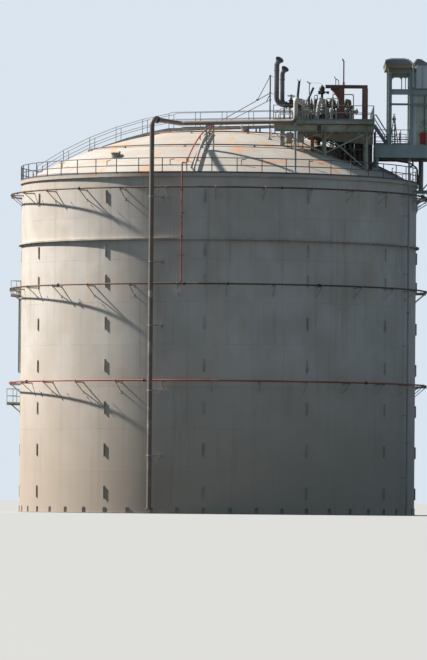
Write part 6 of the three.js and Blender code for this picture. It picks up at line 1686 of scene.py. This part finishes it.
make("cabin_trims", trims, PIPE_LIGHT, smooth=20)
doors = [box(x, x + 0.05, near - 0.04, near, FLOOR_TOP + 0.02, 30.3) for x in (14.73, 15.62, 16.5)]
make("cabin_door_posts", doors, DARK_STEEL, smooth=20)
print("ribs on the front:", round((right - left) / 0.2))

# %% Roofs with folded edges
CANOPY_TOP = [(13.85, 32.68), (13.78, 32.78), (13.6, 32.9), (13.3, 32.98), (12.4, 32.99), (12.08, 32.94),
              (11.9, 32.8)]
CABIN_TOP = [(16.96, 32.56), (15.4, 32.58), (15.0, 32.64), (14.72, 32.8), (14.5, 32.93), (14.25, 32.97),
             (14.12, 32.9),
             (14.05, 32.74)]
CANOPY_EDGE = [(11.9, 32.83), (12.4, 32.94), (13.3, 32.94), (13.62, 32.85), (13.9, 32.62)]
VALLEY = [(13.5, 32.94), (13.9, 32.52), (14.2, 32.94)]


def bent_bar(outline, y, width, depth, lift=0.0):
    return chain([(x, y, z + lift) for x, z in outline], lambda here, there: beam(here, there, width, depth))


def low_roof(top, edge):
    """A roof sheet bent over the outline of its top, with a face plate at each end."""
    under = [(x, z - 0.06) for x, z in reversed(top)]
    face = [(top[0][0], edge), *top, (top[-1][0], edge)]
    shapes = [upright_plate((top + under)[::-1], 5.4, -3.0)]
    shapes += [upright_plate(face[::-1], 0.03, y) for y in (-5.68, -0.32)]
    shapes += [box(x - 0.02, x + 0.02, -5.68, -0.32, edge, min(top[0][1], top[-1][1]))
               for x in (top[0][0] - 0.03, top[-1][0] + 0.03)]
    for i in range(9):
        shapes += bent_bar(top, -5.6 + i * 0.65, 0.05, 0.012, -0.002)
    return shapes


make("canopy_sheet", low_roof(CANOPY_TOP, 32.58), CANOPY, "canopy_roof", smooth=25)
make("cabin_roof_sheet", low_roof(CABIN_TOP, 32.5), CANOPY, "cabin_roof", smooth=25)
# The edge and valley trims are real bent bars; their pale pink colour is a painted highlight along the lit
# edge.
make("canopy_edge", bent_bar(CANOPY_EDGE, -5.7, 0.05, 0.1) + bent_bar(VALLEY, -5.73, 0.04, 0.09), EDGE_PINK_HIGHLIGHT,
     smooth=30)
gutter = line([(13.92, -5.62, 32.6), (13.92, -5.62, 30.95), (13.99, -5.62, 30.95), (13.99, -5.62, 31.2)],
              0.05, 0.04)
make("gutter_pipe", [gutter], PIPE_LIGHT)
rafters = [beam((x, -5.6, 32.35), (x, -0.4, 32.35), 0.08, 0.1) for x in (12.25, 12.8, 13.35, 13.7)]
make("canopy_rafters", rafters + [box(11.95, 13.8, -5.6, -0.4, 32.42, 32.44)], BROWN_SHEET, smooth=20)
print("roofs: 2")

# %% Hose cabinet, rails and gear on the shelter deck
shapes = [box(14.48, 14.86, -5.58, -5.37, 26.82, 27.62), box(14.5, 14.84, -5.592, -5.58, 26.86, 27.58),
          box(14.46, 14.88, -5.59, -5.36, 27.61, 27.65), post(14.8, -5.61, 27.2, 27.32, 0.012, 6)]
shapes += [box(x, x + 0.04, -5.55, -5.4, FLOOR_TOP, 26.83) for x in (14.52, 14.78)]
shapes += [box(14.505, 14.525, -5.6, -5.59, z, z + 0.05) for z in (26.95, 27.45)]
make("hose_box", shapes, BOX_RED, "hose_cabinet", smooth=20)
shelter_rails = rails(FLOOR_TOP, ((11.25, -5.56), (12.1, -5.56), 1), ((12.45, -5.56), (13.66, -5.56), 2),
                      ((11.25, -5.56), (11.25, -4.55), 1), ((11.25, -3.45), (11.25, -0.44), 3),
                      ((11.25, -0.44), (13.6, -0.44), 3), ((16.87, -5.56), (16.87, -0.44), 5))
make("shelter_rails", shelter_rails, GALVANISED)
trestle = [box(12.55, 12.76, -2.95, -2.35, 28.52, 28.6), *valve((12.65, -2.65, 28.78), ALONG_Y, 0.09),
           line([(12.65, -2.9, 28.78), (12.65, -4.6, 28.78), (12.65, -4.6, 26.7)], 0.05, 0.1)]
for y in (-2.9, -2.4):
    trestle += [beam((low, y, FLOOR_TOP), (high, y, 28.55), 0.05)
                for low, high in ((12.35, 12.58), (12.98, 12.72))]
    trestle += [beam((12.66 - reach, y, z), (12.66 + reach, y, z + 0.1), 0.03)
                for z, reach in ((27.1, 0.27), (27.5, 0.21), (27.9, 0.16), (28.3, 0.1))]
make("hose_trestle", trestle, DARK_STEEL)
hydrant = [lathe([(0.05, 0), (0.07, 0.1), (0.07, 0.45), (0.04, 0.6)], (13.0, -5.3, 27.05), UP, 12),
           post(13.0, -5.3, FLOOR_TOP, 27.08, 0.03), bar((12.5, -5.3, 27.15), (13.6, -5.3, 27.15), 0.04, 10)]
make("hydrant", hydrant, RING_RED)
print("gear on the deck: cabinet, trestle, hydrant")

# %% Pipes under and beside the shelter
drop = line([(13.95, -5.56, 25.82), (13.95, -5.56, 25.2), (13.675, -5.608, 25.2), (13.675, -5.608, 24.9)],
            0.06, 0.1)
make("drop_line", [drop], DARK_STEEL, smooth=45)
slack = [(12.2, -5.2, 25.75), (12.6, -5.2, 25.62), (13.75, -5.2, 25.45), (14.25, -4.9, 25.1),
         (14.42, -4.6, 23.9)]
below = [line(slack, 0.06, 0.25),
         line([(16.3, -3.0, BEAM_LOW), (16.3, -3.0, 25.0), (15.25, -3.0, 25.0), (15.25, -3.0, 23.6)], 0.07,
              0.3),
         line([(15.9, -3.3, BEAM_LOW), (15.9, -3.3, 24.2), (15.9, -0.9, 24.2), (15.9, -0.9, BEAM_LOW)], 0.06,
              0.2)]
make("under_shelter_lines", below, DARK_STEEL, smooth=45)
print("scene pieces so far:", TALLY["pieces"])

# %% [markdown]
# ## Floor and light
# The studio is a plain pale floor under a plain pale sky, with one key light 39 degrees up on the left
# and a little behind the tank. Its direction is the sun's in the photograph, so the ring pipes throw the
# same slanting shadows on the wall. The sky looks brighter to the camera than it shines: that keeps the
# shaded side of the tank as deep as the photograph shows it, against a light background.

# %% Floor, sky and key light
FLOOR_SEEN, FLOOR_BOUNCE = (0.42, 0.42, 0.41), (0.08, 0.08, 0.08)
SKY_SEEN, SKY_SHINE, SHINE = (0.7, 0.78, 0.87), (0.55, 0.78, 1.0), 0.33
SUN_WAY, SUN_POWER, SUN_COLOUR = Vector((0.730, -0.251, -0.636)), 7.6, (1.0, 0.94, 0.88)


def seen_apart(g, shining, seen, target):
    """Shows one shader to the camera, and lights the scene with the other."""
    values = {0: g.add("ShaderNodeLightPath", "Is Camera Ray"), 1: shining, 2: seen}
    g.feed(g.tree.nodes[target].inputs["Surface"], g.add("ShaderNodeMixShader", 0, values))


floor_mesh = mesh_of("floor", [box(-2500, 2500, -2500, 2500, -1.0, 0.0)])
floor = bpy.data.objects.new("floor", floor_mesh)
bpy.context.scene.collection.objects.link(floor)
pale = bpy.data.materials.new("pale_floor")
pale.use_nodes = True
g = Graph(pale.node_tree)
top_coat = g.tree.nodes["Principled BSDF"]
g.feed(top_coat.inputs["Base Color"], FLOOR_SEEN)
g.feed(top_coat.inputs["Roughness"], 0.9)
bounce = g.add("ShaderNodeBsdfDiffuse", 0, {"Color": FLOOR_BOUNCE})
seen_apart(g, bounce, top_coat.outputs[0], "Material Output")
floor_mesh.materials.append(pale)

sky = bpy.data.worlds.new("even_sky")
sky.use_nodes = True
g = Graph(sky.node_tree)
shining = g.tree.nodes["Background"]
g.feed(shining.inputs["Color"], SKY_SHINE)
g.feed(shining.inputs["Strength"], SHINE)
seen_sky = g.add("ShaderNodeBackground", 0, {"Color": SKY_SEEN, "Strength": 1.0})
seen_apart(g, shining.outputs[0], seen_sky, "World Output")
bpy.context.scene.world = sky

sun = bpy.data.lights.new("key_light", "SUN")
sun.energy, sun.angle, sun.color = SUN_POWER, math.radians(2.0), SUN_COLOUR
stand("key_light", sun, SUN_WAY.to_track_quat("-Z", "Y"))
bpy.context.scene.view_settings.view_transform = "Standard"
print("pieces:", TALLY["pieces"], "faces:", TALLY["faces"])
